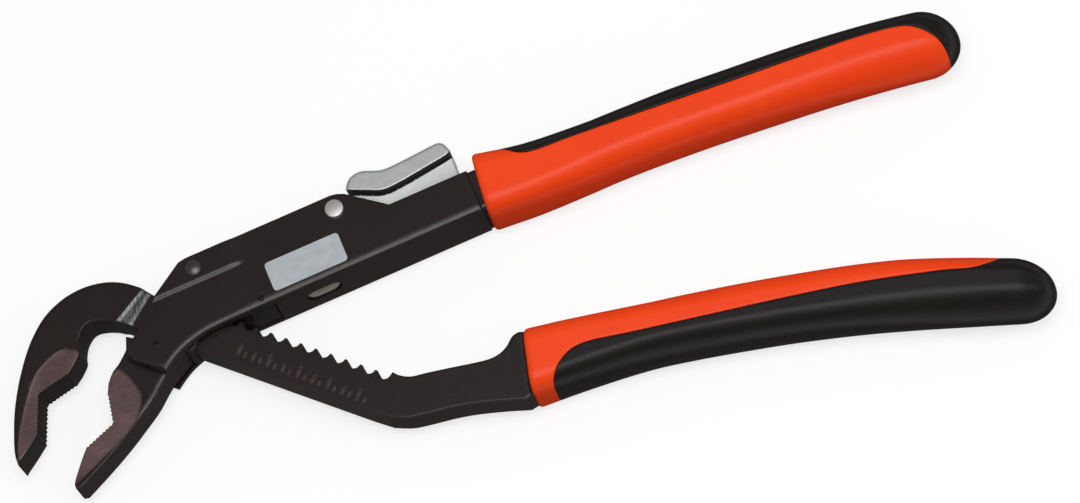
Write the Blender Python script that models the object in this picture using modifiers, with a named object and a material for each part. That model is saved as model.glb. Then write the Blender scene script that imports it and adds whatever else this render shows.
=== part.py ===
"""Water pump pliers with a push-lever rack lock.

The tool lies flat: the jaws open in the XY plane, +X runs from the jaws to the
handles and +Z is up. The upper limb is a folded sheet steel body that holds the
lower jaw, the locking pawl and the thumb lever. The lower limb is one forging
with the hook jaw and a toothed arm, which slides through the body in a saddle
and turns about the pawl's round nose. Each limb is drawn in its own frame, with
the jaw pivot at the origin and X along its own length.
"""

import math

import bmesh
import bpy
from mathutils import Vector

# Fits, in metres
clearance = 0.0003
pin_fit = 0.0001
overrun = 0.0040

# Places of the two limbs, in metres and degrees
pivot_x = -0.0774
pivot_y = 0.0066
body_angle = 11.7
rack_angle = -33.0
close_turn = 9.0

# Forged lower limb: hook jaw, toothed arm and shank
tooth_pitch = 0.00415
valley_count = 13
pawl_nose_radius = 0.00145
peak_drop = 0.0001
arm_depth = 0.0106
arm_thickness = 0.0091
shoulder_drop = 0.0011
hook_thickness = 0.0104
hook_reach = 0.0386
hook_depth = 0.0539
hook_tooth_depth = 0.0003
shank_reach = 0.0332
shank_rise = 0.01445
collar_half_width = 0.0086
face_grind = 0.0003

# Folded body of the upper limb
saddle_plate = 0.0005
sheet = 0.0022
cheek_front = 0.0225
body_reach = 0.0740
body_crest = 0.0133
body_belly = 0.0069
body_tail = 0.0046
web_start = 0.0170
tail_wall = 0.0013
fold_radius = 0.0015
pad_rise = 0.0004
pad_edge = 0.0061
pad_rear = 0.0106
window_centre = 0.0293
window_length = 0.0096
window_width = 0.0056

# Lower jaw
jaw_reach = 0.0463
jaw_drop = 0.0306
jaw_tooth_depth = 0.0003

# Saddle that carries the arm
strap_half_width = 0.0022
bridge_thickness = 0.0008
ear_radius = 0.0056
trunnion_radius = 0.0045
trunnion_depth = 0.00125

# Pawl and what guides it
pawl_half_width = 0.0040
pawl_height = 0.0115
pawl_shoulder = 0.0026
pawl_stem = 0.0009
pawl_travel = 0.0032
notch_front = 0.0038
front_rivet_rise = 0.00795
front_rivet_radius = 0.0016
front_rivet_head = 0.0022
pin_x = 0.0143
pin_drop = 0.0050
pin_radius = 0.0008

# Thumb lever and its spring
lever_x = 0.0398
lever_y = 0.0092
lever_rivet_radius = 0.0018
lever_rivet_head = 0.0024
boss_radius = 0.0042
lever_web = 0.0072
lever_pad = 0.0128
tongue_low = 0.00505
tongue_height = 0.00255
lever_gap = 0.0019
spring_strip = 0.0006

# Grips, each drawn from its front face along its own centre line
grip_half_width = 0.0080
grip_half_thickness = 0.0092
grip_swell = 0.0003
grip_skin = 0.0016
face_half_width = 0.0089
upper_grip_y = 0.0004
upper_grip_angle = -6.6
upper_grip_length = 0.1256
lower_grip_angle = 30.0
lower_grip_length = 0.1308
grip_end_radius = 0.0095
tang_length = 0.0900
tang_half_width = 0.0042

# Sizes that follow from the ones above
mid_height = grip_half_thickness
valley_radius = pawl_nose_radius + clearance
arm_half = arm_thickness / 2
hook_half = hook_thickness / 2
cavity_half = arm_half + 2 * clearance + saddle_plate
inner_half = cavity_half - clearance
body_half = cavity_half + sheet
rack_end = (valley_count - 1) * tooth_pitch
rack_in_body = rack_angle - body_angle
lever_rear = body_reach - lever_gap - lever_x
upper_grip_x = body_reach + 2 * clearance + face_half_width * math.sin(math.radians(-upper_grip_angle))
lower_grip_x = rack_end + shank_reach
body_tang_start = body_reach - tail_wall / 2 - upper_grip_x
limb_tang_start = -clearance
round_steps = 20

# Outlines as shares of the sizes that they follow
hook_back_shares = [(-0.720, -1.000), (-0.775, -0.955), (-0.842, -0.863), (-0.902, -0.761), (-0.951, -0.646),
                    (-0.987, -0.519), (-1.000, -0.408), (-0.984, -0.293), (-0.922, -0.187), (-0.829, -0.104),
                    (-0.712, -0.045), (-0.591, -0.015), (-0.466, -0.008)]
hook_throat_shares = [(-0.557, -0.206), (-0.627, -0.224), (-0.692, -0.258), (-0.707, -0.319), (-0.684, -0.377),
                      (-0.658, -0.410), (-0.658, -0.466)]
hook_bite_shares = [(-0.671, -0.516), (-0.795, -0.651), (-0.689, -0.829), (-0.705, -0.918)]
hook_facet_shares = [(-0.650, -0.395), (-0.723, -0.404), (-0.785, -0.423), (-0.834, -0.481), (-0.870, -0.573),
                     (-0.855, -0.688), (-0.824, -0.794), (-0.785, -0.889), (-0.715, -1.020)]
arm_start_share = -0.363
arch_start_share = -0.466
neck_ramp_shares = [(0.44, 0.075), (0.40, 0.031)]
facet_edge_share = -0.5
first_tooth_shares = (-0.8, -0.15)
shank_top_shares = [(0.057, 0.062), (0.117, 0.048), (0.202, 0.097), (0.298, 0.242), (0.449, 0.464),
                    (0.669, 0.782), (0.750, 0.955), (0.789, 1.142), (0.798, 1.343), (0.828, 1.467)]
shank_low_shares = [(1.072, 0.374), (0.913, 0.215), (0.759, 0.035), (0.605, -0.166), (0.425, -0.450),
                    (0.307, -0.616), (0.172, -0.720)]
jaw_mouth_shares = [(-1.000, -1.000), (-0.996, -0.944), (-0.961, -0.869), (-0.914, -0.778)]
jaw_bite_shares = [(-0.868, -0.699), (-0.691, -0.598), (-0.661, -0.353)]
jaw_neck_shares = [(-0.637, -0.268), (-0.600, -0.199), (-0.542, -0.141), (-0.479, -0.056)]
jaw_back_shares = [(-0.311, -0.399), (-0.363, -0.461), (-0.451, -0.575), (-0.575, -0.693), (-0.713, -0.814),
                   (-0.838, -0.912), (-0.972, -1.010)]
jaw_facet_shares = [(-0.574, -0.190), (-0.540, -0.212), (-0.508, -0.320), (-0.490, -0.448), (-0.497, -0.520),
                    (-0.542, -0.627), (-0.620, -0.735), (-0.758, -0.824), (-0.898, -0.915), (-0.975, -0.960)]
jaw_heel_share = 0.389
cheek_top_shares = [(-1.000, -0.301), (-0.867, -0.090), (-0.449, 0.549), (-0.071, 0.975), (0.022, 1.000)]
cheek_low_shares = [(0.267, -1.000), (-0.044, -1.043), (-0.289, -1.217), (-0.467, -1.464), (-0.640, -1.841)]
root_step_shares = [(-0.751, -0.150), (-0.844, -0.319), (-0.969, -0.565), (-0.550, -1.990)]
notch_shares = [(0.055, 0.980), (0.115, 0.917), (0.405, 0.0)]
fold_level_share = -0.98
tongue_shares = [(0.352, 0.870), (0.854, 1.261), (1.005, 1.413)]
tongue_floor_shares = [(0.905, 0.500), (0.754, 0.500)]
block_low_share = 0.5
block_high_share = 0.785
block_floor_share = -0.94
block_toe_share = 0.617
block_top_shares = [(0.84, 0.5), (1.0, -0.3)]
leaf_shares = [(0.25, 0.35), (0.55, 1.0), (0.64, 1.0)]
lever_top_shares = [(0.139, 1.370), (0.167, 1.543), (0.211, 1.652), (0.294, 1.652), (0.455, 1.500), (0.628, 1.489),
                    (0.981, 1.360), (1.000, 1.272)]
lever_floor_shares = [(0.994, 0.239), (0.950, 0.098), (0.625, 0.098), (0.316, 0.174), (0.130, 0.348)]
pad_shares = [(0.146, 1.457), (0.139, 1.511), (0.167, 1.674), (0.211, 1.793), (0.303, 1.826), (0.455, 1.620),
              (0.628, 1.620), (0.898, 1.685), (0.960, 1.641), (0.991, 1.478), (0.985, 1.261), (0.793, 1.152),
              (0.542, 1.043), (0.399, 1.043), (0.279, 1.228)]

# Grip tables: share of the length, then shares of the half width for centre offset and half width
upper_grip_shares = [(0.000, 0.000, 1.113), (0.100, -0.056, 1.013), (0.210, 0.038, 0.975), (0.310, 0.175, 0.969),
                     (0.420, 0.288, 0.988), (0.520, 0.338, 0.988), (0.630, 0.369, 1.013), (0.730, 0.363, 1.038),
                     (0.840, 0.300, 1.056), (0.940, 0.200, 1.040), (1.000, 0.140, 1.000)]
lower_grip_shares = [(0.000, 0.000, 1.113), (0.100, 0.200, 1.019), (0.210, 0.363, 0.938), (0.310, 0.444, 0.938),
                     (0.420, 0.475, 0.956), (0.520, 0.463, 0.975), (0.630, 0.388, 1.019), (0.730, 0.240, 1.056),
                     (0.840, -0.020, 1.038), (0.940, -0.280, 0.975), (1.000, -0.410, 0.950)]
upper_inlay_shares = [(0.044, 1.700), (0.048, 1.200), (0.071, 0.750), (0.111, 0.413), (0.206, 0.463),
                      (0.341, 0.538), (0.540, 0.625), (0.667, 0.700), (0.794, 0.763), (0.881, 0.700),
                      (0.921, 0.475), (0.956, -0.100), (0.967, -0.713), (0.962, -1.500)]
lower_inlay_shares = [(0.038, -1.700), (0.043, -0.925), (0.067, -0.238), (0.110, 0.150), (0.206, 0.238),
                      (0.353, 0.363), (0.499, 0.488), (0.645, 0.563), (0.789, 0.500), (0.855, 0.425),
                      (0.901, 0.625), (0.943, 1.125), (0.943, 1.850)]
lip_share = 0.94
square_front_share = 0.12
tang_taper_share = 0.2
body_tang_shares = [(0.030, -0.140), (0.280, 0.038), (0.580, 0.263), (1.000, 0.325)]
limb_tang_shares = [(0.030, 0.000), (0.150, 0.200), (0.300, 0.400), (0.580, 0.475), (0.800, 0.400),
                    (1.000, 0.240)]


def hex_to_linear(code):
    """Return a linear RGBA colour for an sRGB hex code."""
    channels = [int(code[i:i + 2], 16) / 255 for i in (1, 3, 5)]
    linear = [c / 12.92 if c <= 0.04045 else ((c + 0.055) / 1.055) ** 2.4 for c in channels]
    return (*linear, 1.0)


def make_material(name, code, roughness, metallic):
    """Return a plain Principled material."""
    material = bpy.data.materials.new(name)
    material.use_nodes = True
    shader = material.node_tree.nodes["Principled BSDF"]
    shader.inputs["Base Color"].default_value = hex_to_linear(code)
    shader.inputs["Roughness"].default_value = roughness
    shader.inputs["Metallic"].default_value = metallic
    return material


def polar(radius, degrees):
    """Return the point at a radius and an angle about the origin."""
    return (radius * math.cos(math.radians(degrees)), radius * math.sin(math.radians(degrees)))


def turn(point, degrees):
    """Return a point turned about the origin."""
    c = math.cos(math.radians(degrees))
    s = math.sin(math.radians(degrees))
    return (point[0] * c - point[1] * s, point[0] * s + point[1] * c)


def scaled(shares, width, height, x=0.0):
    """Return the points of an outline given as shares of a width and a height, moved along X."""
    return [(x + width * u, height * v) for u, v in shares]


def arc(centre, radius, start, end, steps):
    """Return points along an arc, ends included."""
    points = []
    for i in range(steps + 1):
        x, y = polar(radius, start + (end - start) * i / steps)
        points.append((centre[0] + x, centre[1] + y))
    return points


def smooth(points, steps):
    """Return a smooth curve through the points, with extra points between them."""
    curve = []
    for i in range(len(points) - 1):
        before = Vector(points[max(i - 1, 0)])
        start = Vector(points[i])
        end = Vector(points[i + 1])
        after = Vector(points[min(i + 2, len(points) - 1)])
        for k in range(steps):
            t = k / steps
            place = (2 * start + (end - before) * t + (2 * before - 5 * start + 4 * end - after) * t ** 2
                     + (3 * start - before - 3 * end + after) * t ** 3) / 2
            curve.append(tuple(place))
    curve.append(tuple(points[-1]))
    return curve


def serrated(start, end, count, depth):
    """Return teeth from start towards end, cut to the right of the way, without the end point."""
    along = Vector(end) - Vector(start)
    inward = Vector((along.y, -along.x)).normalized() * depth
    points = []
    for i in range(count):
        points.append(tuple(Vector(start) + along * i / count))
        points.append(tuple(Vector(start) + along * (i + 0.5) / count + inward))
    return points


def strip(centres, half_widths):
    """Return the outline of a band along a line of centres, with a half width at each."""
    left = []
    right = []
    for i, (centre, half_width) in enumerate(zip(centres, half_widths)):
        along = Vector(centres[min(i + 1, len(centres) - 1)]) - Vector(centres[max(i - 1, 0)])
        side = Vector((-along.y, along.x)).normalized() * half_width
        left.append(tuple(Vector(centre) + side))
        right.append(tuple(Vector(centre) - side))
    return left + right[::-1]


def in_grip(points, grip):
    """Return points of a grip's own frame in the frame of its limb."""
    x, y, degrees, length = grip
    return [(x + turn(p, degrees)[0], y + turn(p, degrees)[1]) for p in points]


def link(name, mesh, limb, material=None):
    """Return a new object on a limb, in the collection of parts."""
    part = bpy.data.objects.new(name, mesh)
    parts.objects.link(part)
    part.parent = limb
    if material:
        mesh.materials.append(material)
    return part


def plate(name, outline, half_thickness, limb, height=0.0, material=None):
    """Return a flat piece with the given outline, centred at a height above the middle plane."""
    curve = bpy.data.curves.new(name, "CURVE")
    curve.dimensions = "2D"
    curve.fill_mode = "BOTH"
    curve.extrude = half_thickness
    spline = curve.splines.new("POLY")
    spline.points.add(len(outline) - 1)
    for point, (x, y) in zip(spline.points, outline):
        point.co = (x, y, 0.0, 1.0)
    spline.use_cyclic_u = True
    holder = bpy.data.objects.new(name, curve)
    parts.objects.link(holder)
    graph = bpy.context.evaluated_depsgraph_get()
    mesh = bpy.data.meshes.new_from_object(holder.evaluated_get(graph))
    bpy.data.objects.remove(holder)
    bpy.data.curves.remove(curve)
    mesh.name = name
    bm = bmesh.new()
    bm.from_mesh(mesh)
    bmesh.ops.remove_doubles(bm, verts=bm.verts, dist=clearance / 100)
    bmesh.ops.dissolve_limit(bm, angle_limit=math.radians(0.5), verts=bm.verts, edges=bm.edges)
    bmesh.ops.translate(bm, verts=bm.verts, vec=(0.0, 0.0, height))
    bmesh.ops.recalc_face_normals(bm, faces=bm.faces)
    bm.to_mesh(mesh)
    bm.free()
    return link(name, mesh, limb, material)


def round_rim(part, half_thickness, width, segments, chosen):
    """Bevel those rims of a plate whose middles are chosen."""
    bm = bmesh.new()
    bm.from_mesh(part.data)
    edges = []
    for edge in bm.edges:
        middle = (edge.verts[0].co + edge.verts[1].co) / 2
        on_rim = all(abs(abs(v.co.z) - half_thickness) < clearance / 10 for v in edge.verts)
        if on_rim and chosen(middle.x, middle.y):
            edges.append(edge)
    bmesh.ops.bevel(bm, geom=edges, offset=width, segments=segments, profile=0.5, affect="EDGES")
    bm.to_mesh(part.data)
    bm.free()


def turned(name, centre, profile, limb, material=None):
    """Return a piece turned about a line along Z, from a profile of radii and heights, top to bottom."""
    mesh = bpy.data.meshes.new(name)
    points = [(radius, 0.0, height) for radius, height in profile]
    mesh.from_pydata(points, [(i, i + 1) for i in range(len(points) - 1)], [])
    part = link(name, mesh, limb, material)
    part.location = (centre[0], centre[1], 0.0)
    screw = part.modifiers.new("turning", "SCREW")
    screw.axis = "Z"
    screw.steps = round_steps
    screw.render_steps = round_steps
    screw.use_merge_vertices = True
    screw.merge_threshold = clearance / 100
    return part


def rod(name, centre, radius, top, bottom, limb, material=None):
    """Return a plain round bar along Z."""
    return turned(name, centre, [(0.0, top), (radius, top), (radius, bottom), (0.0, bottom)], limb, material)


def boolean(part, tool, operation):
    """Add a Boolean of a part with a tool, which becomes a cutter."""
    modifier = part.modifiers.new(operation.lower(), "BOOLEAN")
    modifier.solver = "EXACT"
    modifier.operation = operation
    modifier.object = tool
    if tool.name not in cutters.objects:
        parts.objects.unlink(tool)
        cutters.objects.link(tool)
        tool.hide_render = True
        tool.display_type = "WIRE"


def cut_faces(part, outline, inner, outer, limb):
    """Cut both flat faces of a part inside an outline, between two half thicknesses."""
    for side, sign in (("top", 1), ("bottom", -1)):
        height = sign * (inner + outer) / 2
        tool = plate(f"{part.name}_{side}_cut_{len(part.modifiers)}", outline, (outer - inner) / 2, limb, height)
        boolean(part, tool, "DIFFERENCE")


def drill(part, centre, radius, half_length, limb):
    """Cut a round hole through a part along Z."""
    tool = rod(f"{part.name}_hole_{len(part.modifiers)}", centre, radius, half_length, -half_length, limb)
    boolean(part, tool, "DIFFERENCE")


def make_rivet(name, centre, radius, head_radius, seat, limb, material):
    """Return a rivet with a flat-topped head on each side, seated at a half thickness."""
    chamfer = (head_radius - radius) / 2
    top_half = [(0.0, mid_height), (head_radius - chamfer, mid_height), (head_radius, mid_height - chamfer),
                (head_radius, seat), (radius, seat)]
    bottom_half = [(r, -h) for r, h in reversed(top_half)]
    return turned(name, centre, top_half + bottom_half, limb, material)


def grip_at(table, share):
    """Return the centre offset and half width of a grip at a share of its length."""
    for (s0, c0, w0), (s1, c1, w1) in zip(table, table[1:]):
        if share <= s1:
            t = (share - s0) / (s1 - s0)
            return (grip_half_width * (c0 + (c1 - c0) * t), grip_half_width * (w0 + (w1 - w0) * t))
    return (grip_half_width * table[-1][1], grip_half_width * table[-1][2])


def grip_loft(name, table, grip, inset, limb, material=None):
    """Return a grip's body as a loft of rounded sections, drawn in by an inset."""
    length = grip[3]
    table = smooth(table, 2)
    end_start = length - grip_end_radius
    stations = [(inset, lip_share), (inset + grip_swell * 2, 1.0)]
    for i in range(1, 15):
        stations.append((end_start * i / 14, 1.0))
    for degrees in (22, 42, 60, 75, 86):
        reach, shrink = polar(1.0, 90 - degrees)
        stations.append((end_start + (grip_end_radius - inset) * reach, shrink))
    count = 24
    points = []
    for along, shrink in stations:
        centre, half_width = grip_at(table, along / length)
        squareness = max(0.0, 1.0 - along / (length * square_front_share))
        power = 2.6 + 1.2 * squareness
        width = (half_width - inset) * shrink
        thickness = (grip_half_thickness + grip_swell - inset) * shrink
        limit = (grip_half_thickness - inset) * shrink
        for k in range(count):
            c, s = polar(1.0, 360 * (k + 0.5) / count)
            across = math.copysign(abs(c) ** (2 / power), c) * width
            up = math.copysign(abs(s) ** (2 / power), s) * thickness
            points.append((along, centre + across, max(-limit, min(limit, up))))
    faces = [list(range(count)), list(range(len(points) - count, len(points)))]
    for ring in range(len(stations) - 1):
        for k in range(count):
            a = ring * count + k
            b = ring * count + (k + 1) % count
            faces.append([a, b, b + count, a + count])
    mesh = bpy.data.meshes.new(name)
    mesh.from_pydata(points, [], faces)
    bm = bmesh.new()
    bm.from_mesh(mesh)
    bmesh.ops.triangulate(bm, faces=bm.faces)
    bmesh.ops.recalc_face_normals(bm, faces=bm.faces)
    bm.to_mesh(mesh)
    bm.free()
    part = link(name, mesh, limb, material)
    place_on_grip(part, grip)
    return part


def place_on_grip(part, grip):
    """Put a piece that is drawn in a grip's frame in its place on the limb."""
    part.location = (grip[0], grip[1], 0.0)
    part.rotation_euler = (0.0, 0.0, math.radians(grip[2]))


def inlay_outline(shares, grip, outward, margin):
    """Return the flat outline that holds an inlay, grown by a margin."""
    length = grip[3]
    edge = smooth(scaled(shares, length, grip_half_width), 2)
    far = outward * 3 * grip_half_width
    if outward < 0:
        edge.append((edge[-1][0], -far))
    end = length + overrun
    outline = edge + [(end, edge[-1][1]), (end, far), (edge[0][0], far)]
    return offset(outline, margin) if margin else outline


def offset(outline, margin):
    """Return a closed outline moved outwards by a margin."""
    area = sum(a[0] * b[1] - b[0] * a[1] for a, b in zip(outline, outline[1:] + outline[:1]))
    sign = 1 if area > 0 else -1
    grown = []
    for i, point in enumerate(outline):
        ahead = (Vector(outline[(i + 1) % len(outline)]) - Vector(point)).normalized()
        behind = (Vector(point) - Vector(outline[i - 1])).normalized()
        along = (ahead + behind).normalized()
        outward = Vector((along.y, -along.x)) * sign / max(along.dot(ahead), 0.3)
        grown.append(tuple(Vector(point) + outward * margin))
    return grown


def make_grip(prefix, table, inlay_shares, grip, outward, tang, limb):
    """Make the two pieces of a grip: the shell with its pocket, and the inlay on its outward side."""
    shell = grip_loft(prefix + "_grip_shell", table, grip, 0.0, limb, orange_grip)
    pocket = plate(prefix + "_inlay_pocket", inlay_outline(inlay_shares, grip, outward, clearance),
                   grip_half_thickness + overrun, limb)
    place_on_grip(pocket, grip)
    inner_core = grip_loft(prefix + "_inner_core", table, grip, grip_skin + clearance, limb)
    boolean(pocket, inner_core, "DIFFERENCE")
    boolean(shell, pocket, "DIFFERENCE")
    bore = plate(prefix + "_tang_bore", offset(tang, clearance), arm_half + clearance, limb)
    boolean(shell, bore, "DIFFERENCE")

    inlay = plate(prefix + "_grip_inlay", inlay_outline(inlay_shares, grip, outward, 0.0),
                  grip_half_thickness + overrun, limb, 0.0, black_grip)
    place_on_grip(inlay, grip)
    body = grip_loft(prefix + "_inlay_body", table, grip, 0.0, limb)
    core = grip_loft(prefix + "_core", table, grip, grip_skin, limb)
    boolean(inlay, body, "INTERSECT")
    boolean(inlay, core, "DIFFERENCE")


def tang_outline(shares, grip, start):
    """Return the outline of a tang that follows the middle of a grip, from a place near its front face."""
    points = scaled(shares, tang_length, grip_half_width)
    points = [(start, points[0][1])] + smooth(points, 2)
    half_widths = [tang_half_width * (1 - tang_taper_share * max(0.0, x) / tang_length) for x, y in points]
    return in_grip(strip(points, half_widths), grip)


def make_hook_jaw_limb():
    """The forged lower limb: hook jaw, arm with the rack, shank and tang."""
    back = smooth(scaled(hook_back_shares, hook_reach, hook_depth), 2)
    top = [(hook_reach * arm_start_share, -shoulder_drop), (first_tooth_shares[0] * tooth_pitch, -shoulder_drop),
           (-valley_radius + first_tooth_shares[1] * tooth_pitch, -peak_drop)]
    lip = math.degrees(math.asin(peak_drop / valley_radius))
    rack = []
    for i in range(valley_count):
        rack += arc((i * tooth_pitch, 0.0), valley_radius, 180 + lip, 360 - lip, 6)
    shank_top = smooth(scaled(shank_top_shares, shank_reach, shank_rise, rack_end), 2)
    collar = in_grip([(-clearance, collar_half_width), (-clearance, -collar_half_width)], lower_grip)
    tang = tang_outline(limb_tang_shares, lower_grip, limb_tang_start)
    shank_low = smooth(scaled(shank_low_shares, shank_reach, shank_rise, rack_end), 2)
    low = [(rack_end, -arm_depth), (hook_reach * arch_start_share, -arm_depth)]
    throat = smooth(scaled(hook_throat_shares, hook_reach, hook_depth), 2)
    bite = scaled(hook_bite_shares, hook_reach, hook_depth)
    teeth = serrated(bite[0], bite[1], 8, hook_tooth_depth) + serrated(bite[1], bite[2], 9, hook_tooth_depth)
    outline = (back + top + rack + shank_top + collar[:1] + tang + collar[1:] + shank_low
               + low + throat + teeth + bite[2:])
    limb = plate("hook_jaw_limb", outline, hook_half, lower_limb, 0.0, black_steel)
    ramp = (hook_half - arm_half) / 2
    far = lower_grip_x + tang_length + overrun
    deep = 2 * hook_depth
    for inner, (reach, lean) in zip((arm_half + ramp, arm_half), neck_ramp_shares):
        high, low = -hook_reach * reach, -hook_reach * (reach + lean)
        edge = [(high, deep), (high, 0.0), (low, -arm_depth), (low, -arm_depth - overrun), (0.0, -deep),
                (far, -deep), (far, deep)]
        cut_faces(limb, edge, inner, hook_half + overrun, lower_limb)
    facet = smooth(scaled(hook_facet_shares, hook_reach, hook_depth), 2)
    facet += [(facet_edge_share * hook_reach, -hook_depth - overrun), (facet_edge_share * hook_reach, facet[0][1])]
    cut_faces(limb, facet, hook_half - face_grind, hook_half + overrun, lower_limb)


def jaw_relief_line():
    """Return the near point and the direction of the lower jaw's upper edge, which lets the arm turn shut."""
    distance = arm_depth + clearance
    facing = rack_in_body - 90 + close_turn
    return Vector(polar(distance, facing)), Vector(polar(1.0, facing - 90)), distance


def make_lower_jaw():
    """The lower jaw, fixed between the cheeks of the body."""
    near, along, distance = jaw_relief_line()
    sweep = math.hypot(strap_half_width, arm_depth + clearance + bridge_thickness) + clearance
    corner = near + along * math.sqrt(sweep ** 2 - distance ** 2)
    heel = near + along * jaw_reach * jaw_heel_share
    corner_angle = math.degrees(math.atan2(corner.y, corner.x))
    foot_angle = rack_in_body - 90
    mouth = smooth(scaled(jaw_mouth_shares, jaw_reach, jaw_drop), 2)
    bite = scaled(jaw_bite_shares, jaw_reach, jaw_drop)
    neck = smooth(scaled(jaw_neck_shares, jaw_reach, jaw_drop), 2)
    back = smooth(scaled(jaw_back_shares, jaw_reach, jaw_drop), 2)
    teeth = serrated(bite[0], bite[1], 8, jaw_tooth_depth) + serrated(bite[1], bite[2], 7, jaw_tooth_depth)
    outline = (mouth + teeth + bite[2:] + neck + [tuple(heel)]
               + arc((0.0, 0.0), sweep, corner_angle, foot_angle, 4) + back)
    jaw = plate("lower_jaw", outline, inner_half, upper_limb, 0.0, black_steel)
    step = scaled(root_step_shares, cheek_front, body_belly)
    far = -jaw_reach - overrun
    cut_faces(jaw, [(step[0][0], -far)] + step + [(far, 2 * far), (far, -far)], arm_half, body_half, upper_limb)
    facet = smooth(scaled(jaw_facet_shares, jaw_reach, jaw_drop), 2)
    facet += [(far, facet[-1][1]), (far, facet[0][1])]
    cut_faces(jaw, facet, arm_half - face_grind, body_half, upper_limb)
    drill(jaw, (-pin_x, -pin_drop), pin_radius + pin_fit, body_half, upper_limb)


def make_channel_frame():
    """The folded sheet steel body: two cheeks joined by a web underneath, and the tang."""
    crest, notch_top, foot = scaled(notch_shares, lever_rear, body_crest, lever_x)
    notch_foot = (foot[0], body_tail)
    outline = (scaled(cheek_top_shares, cheek_front, body_crest)
               + [(lever_x, body_crest), crest, notch_top, notch_foot, (body_reach, body_tail),
                  (body_reach, -body_belly)]
               + scaled(cheek_low_shares, cheek_front, body_belly))
    body = plate("channel_frame", outline, body_half, upper_limb, 0.0, black_steel)
    fold_start = cheek_low_shares[-1][0] * cheek_front
    fold_level = body_belly * fold_level_share
    round_rim(body, body_half, fold_radius, 3, lambda x, y: y < fold_level and x > fold_start)
    front = -cheek_front - overrun
    rear = body_reach - tail_wall
    floor = -body_belly + sheet
    below = -2 * body_belly - overrun
    above = body_crest + overrun
    pad = plate("rivet_pad", outline, body_half + pad_rise, upper_limb)
    pad_area = [(front, pad_edge), (pad_rear, pad_edge), (pad_rear + pad_edge, above), (front, above)]
    boolean(pad, plate("pad_area", pad_area, body_half + overrun, upper_limb), "INTERSECT")
    boolean(body, pad, "UNION")
    hollow = plate("channel_hollow", [(front, below), (web_start, below), (web_start, floor), (rear, floor),
                                      (rear, above), (front, above)], cavity_half, upper_limb)
    boolean(body, hollow, "DIFFERENCE")
    for side, sign in (("top", 1), ("bottom", -1)):
        seat = inner_half + trunnion_depth + clearance
        trunnion_seat = rod(f"trunnion_seat_{side}", (0.0, 0.0), trunnion_radius + clearance,
                            max(sign * seat, 0.0), min(sign * seat, 0.0), upper_limb)
        boolean(body, trunnion_seat, "DIFFERENCE")
    drill(body, front_rivet_place(), front_rivet_radius + pin_fit, body_half + overrun, upper_limb)
    drill(body, (lever_x, lever_y), lever_rivet_radius + pin_fit, body_half + overrun, upper_limb)
    for x in (-pin_x, pin_x):
        drill(body, (x, -pin_drop), pin_radius + pin_fit, body_half + overrun, upper_limb)
    run = (window_length - window_width) / 2
    lens = (arc((run, 0.0), window_width / 2, -90, 90, 8)
            + arc((-run, 0.0), window_width / 2, 90, 270, 8))
    window = plate("lens_window", lens, sheet, upper_limb)
    window.location = (window_centre, -body_belly + sheet / 2, 0.0)
    window.rotation_euler = (math.radians(90), 0.0, 0.0)
    boolean(body, window, "DIFFERENCE")
    tang = plate("body_tang", tang_outline(body_tang_shares, upper_grip, body_tang_start), arm_half, upper_limb)
    boolean(body, tang, "UNION")


def front_rivet_place():
    """Return where the front rivet stands, beside the pawl and ahead of it."""
    return turn((-pawl_half_width - clearance - front_rivet_radius, front_rivet_rise), rack_in_body)


def make_locking_pawl():
    """The pawl whose round nose locks the rack, with a notch for the lever's tongue."""
    slope = pawl_shoulder - pawl_stem
    outline = arc((0.0, 0.0), pawl_nose_radius, 180, 360, 8)
    outline += [(pawl_nose_radius, pawl_stem), (pawl_half_width, pawl_stem + slope), (pawl_half_width, pawl_height),
                (-pawl_half_width, pawl_height), (-pawl_half_width, pawl_stem + slope),
                (-pawl_nose_radius, pawl_stem)]
    pawl = plate("locking_pawl", outline, inner_half, upper_limb, 0.0, bright_steel)
    pawl.rotation_euler = (0.0, 0.0, math.radians(rack_in_body))
    clear_saddle_ears(pawl)
    notch_top = tongue_low + tongue_height + clearance
    notch = [(notch_front, tongue_low - 2 * clearance), (web_start, tongue_low - 2 * clearance),
             (web_start, notch_top), (notch_front, notch_top)]
    boolean(pawl, plate("tongue_notch", notch, body_half, upper_limb), "DIFFERENCE")


def clear_saddle_ears(part):
    """Cut away what would meet the saddle's ears as they turn."""
    for side, sign in (("top", 1), ("bottom", -1)):
        heights = sorted((sign * arm_half, sign * body_half), reverse=True)
        room = rod(f"{part.name}_ear_room_{side}", (0.0, 0.0), ear_radius + clearance, *heights, upper_limb)
        boolean(part, room, "DIFFERENCE")


def make_guide_block():
    """The block behind the pawl, pinned between the cheeks."""
    side = pawl_half_width + clearance
    low = turn((side, block_low_share * pawl_shoulder), rack_in_body)
    high = turn((side, block_high_share * pawl_height), rack_in_body)
    rear = web_start - clearance
    floor = block_floor_share * body_belly
    outline = [low, high] + scaled(block_top_shares, rear, tongue_low)
    outline += [(rear, floor), (block_toe_share * rear, floor)]
    block = plate("guide_block", outline, inner_half, upper_limb, 0.0, dull_steel)
    clear_saddle_ears(block)
    drill(block, (pin_x, -pin_drop), pin_radius + pin_fit, body_half, upper_limb)


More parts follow.
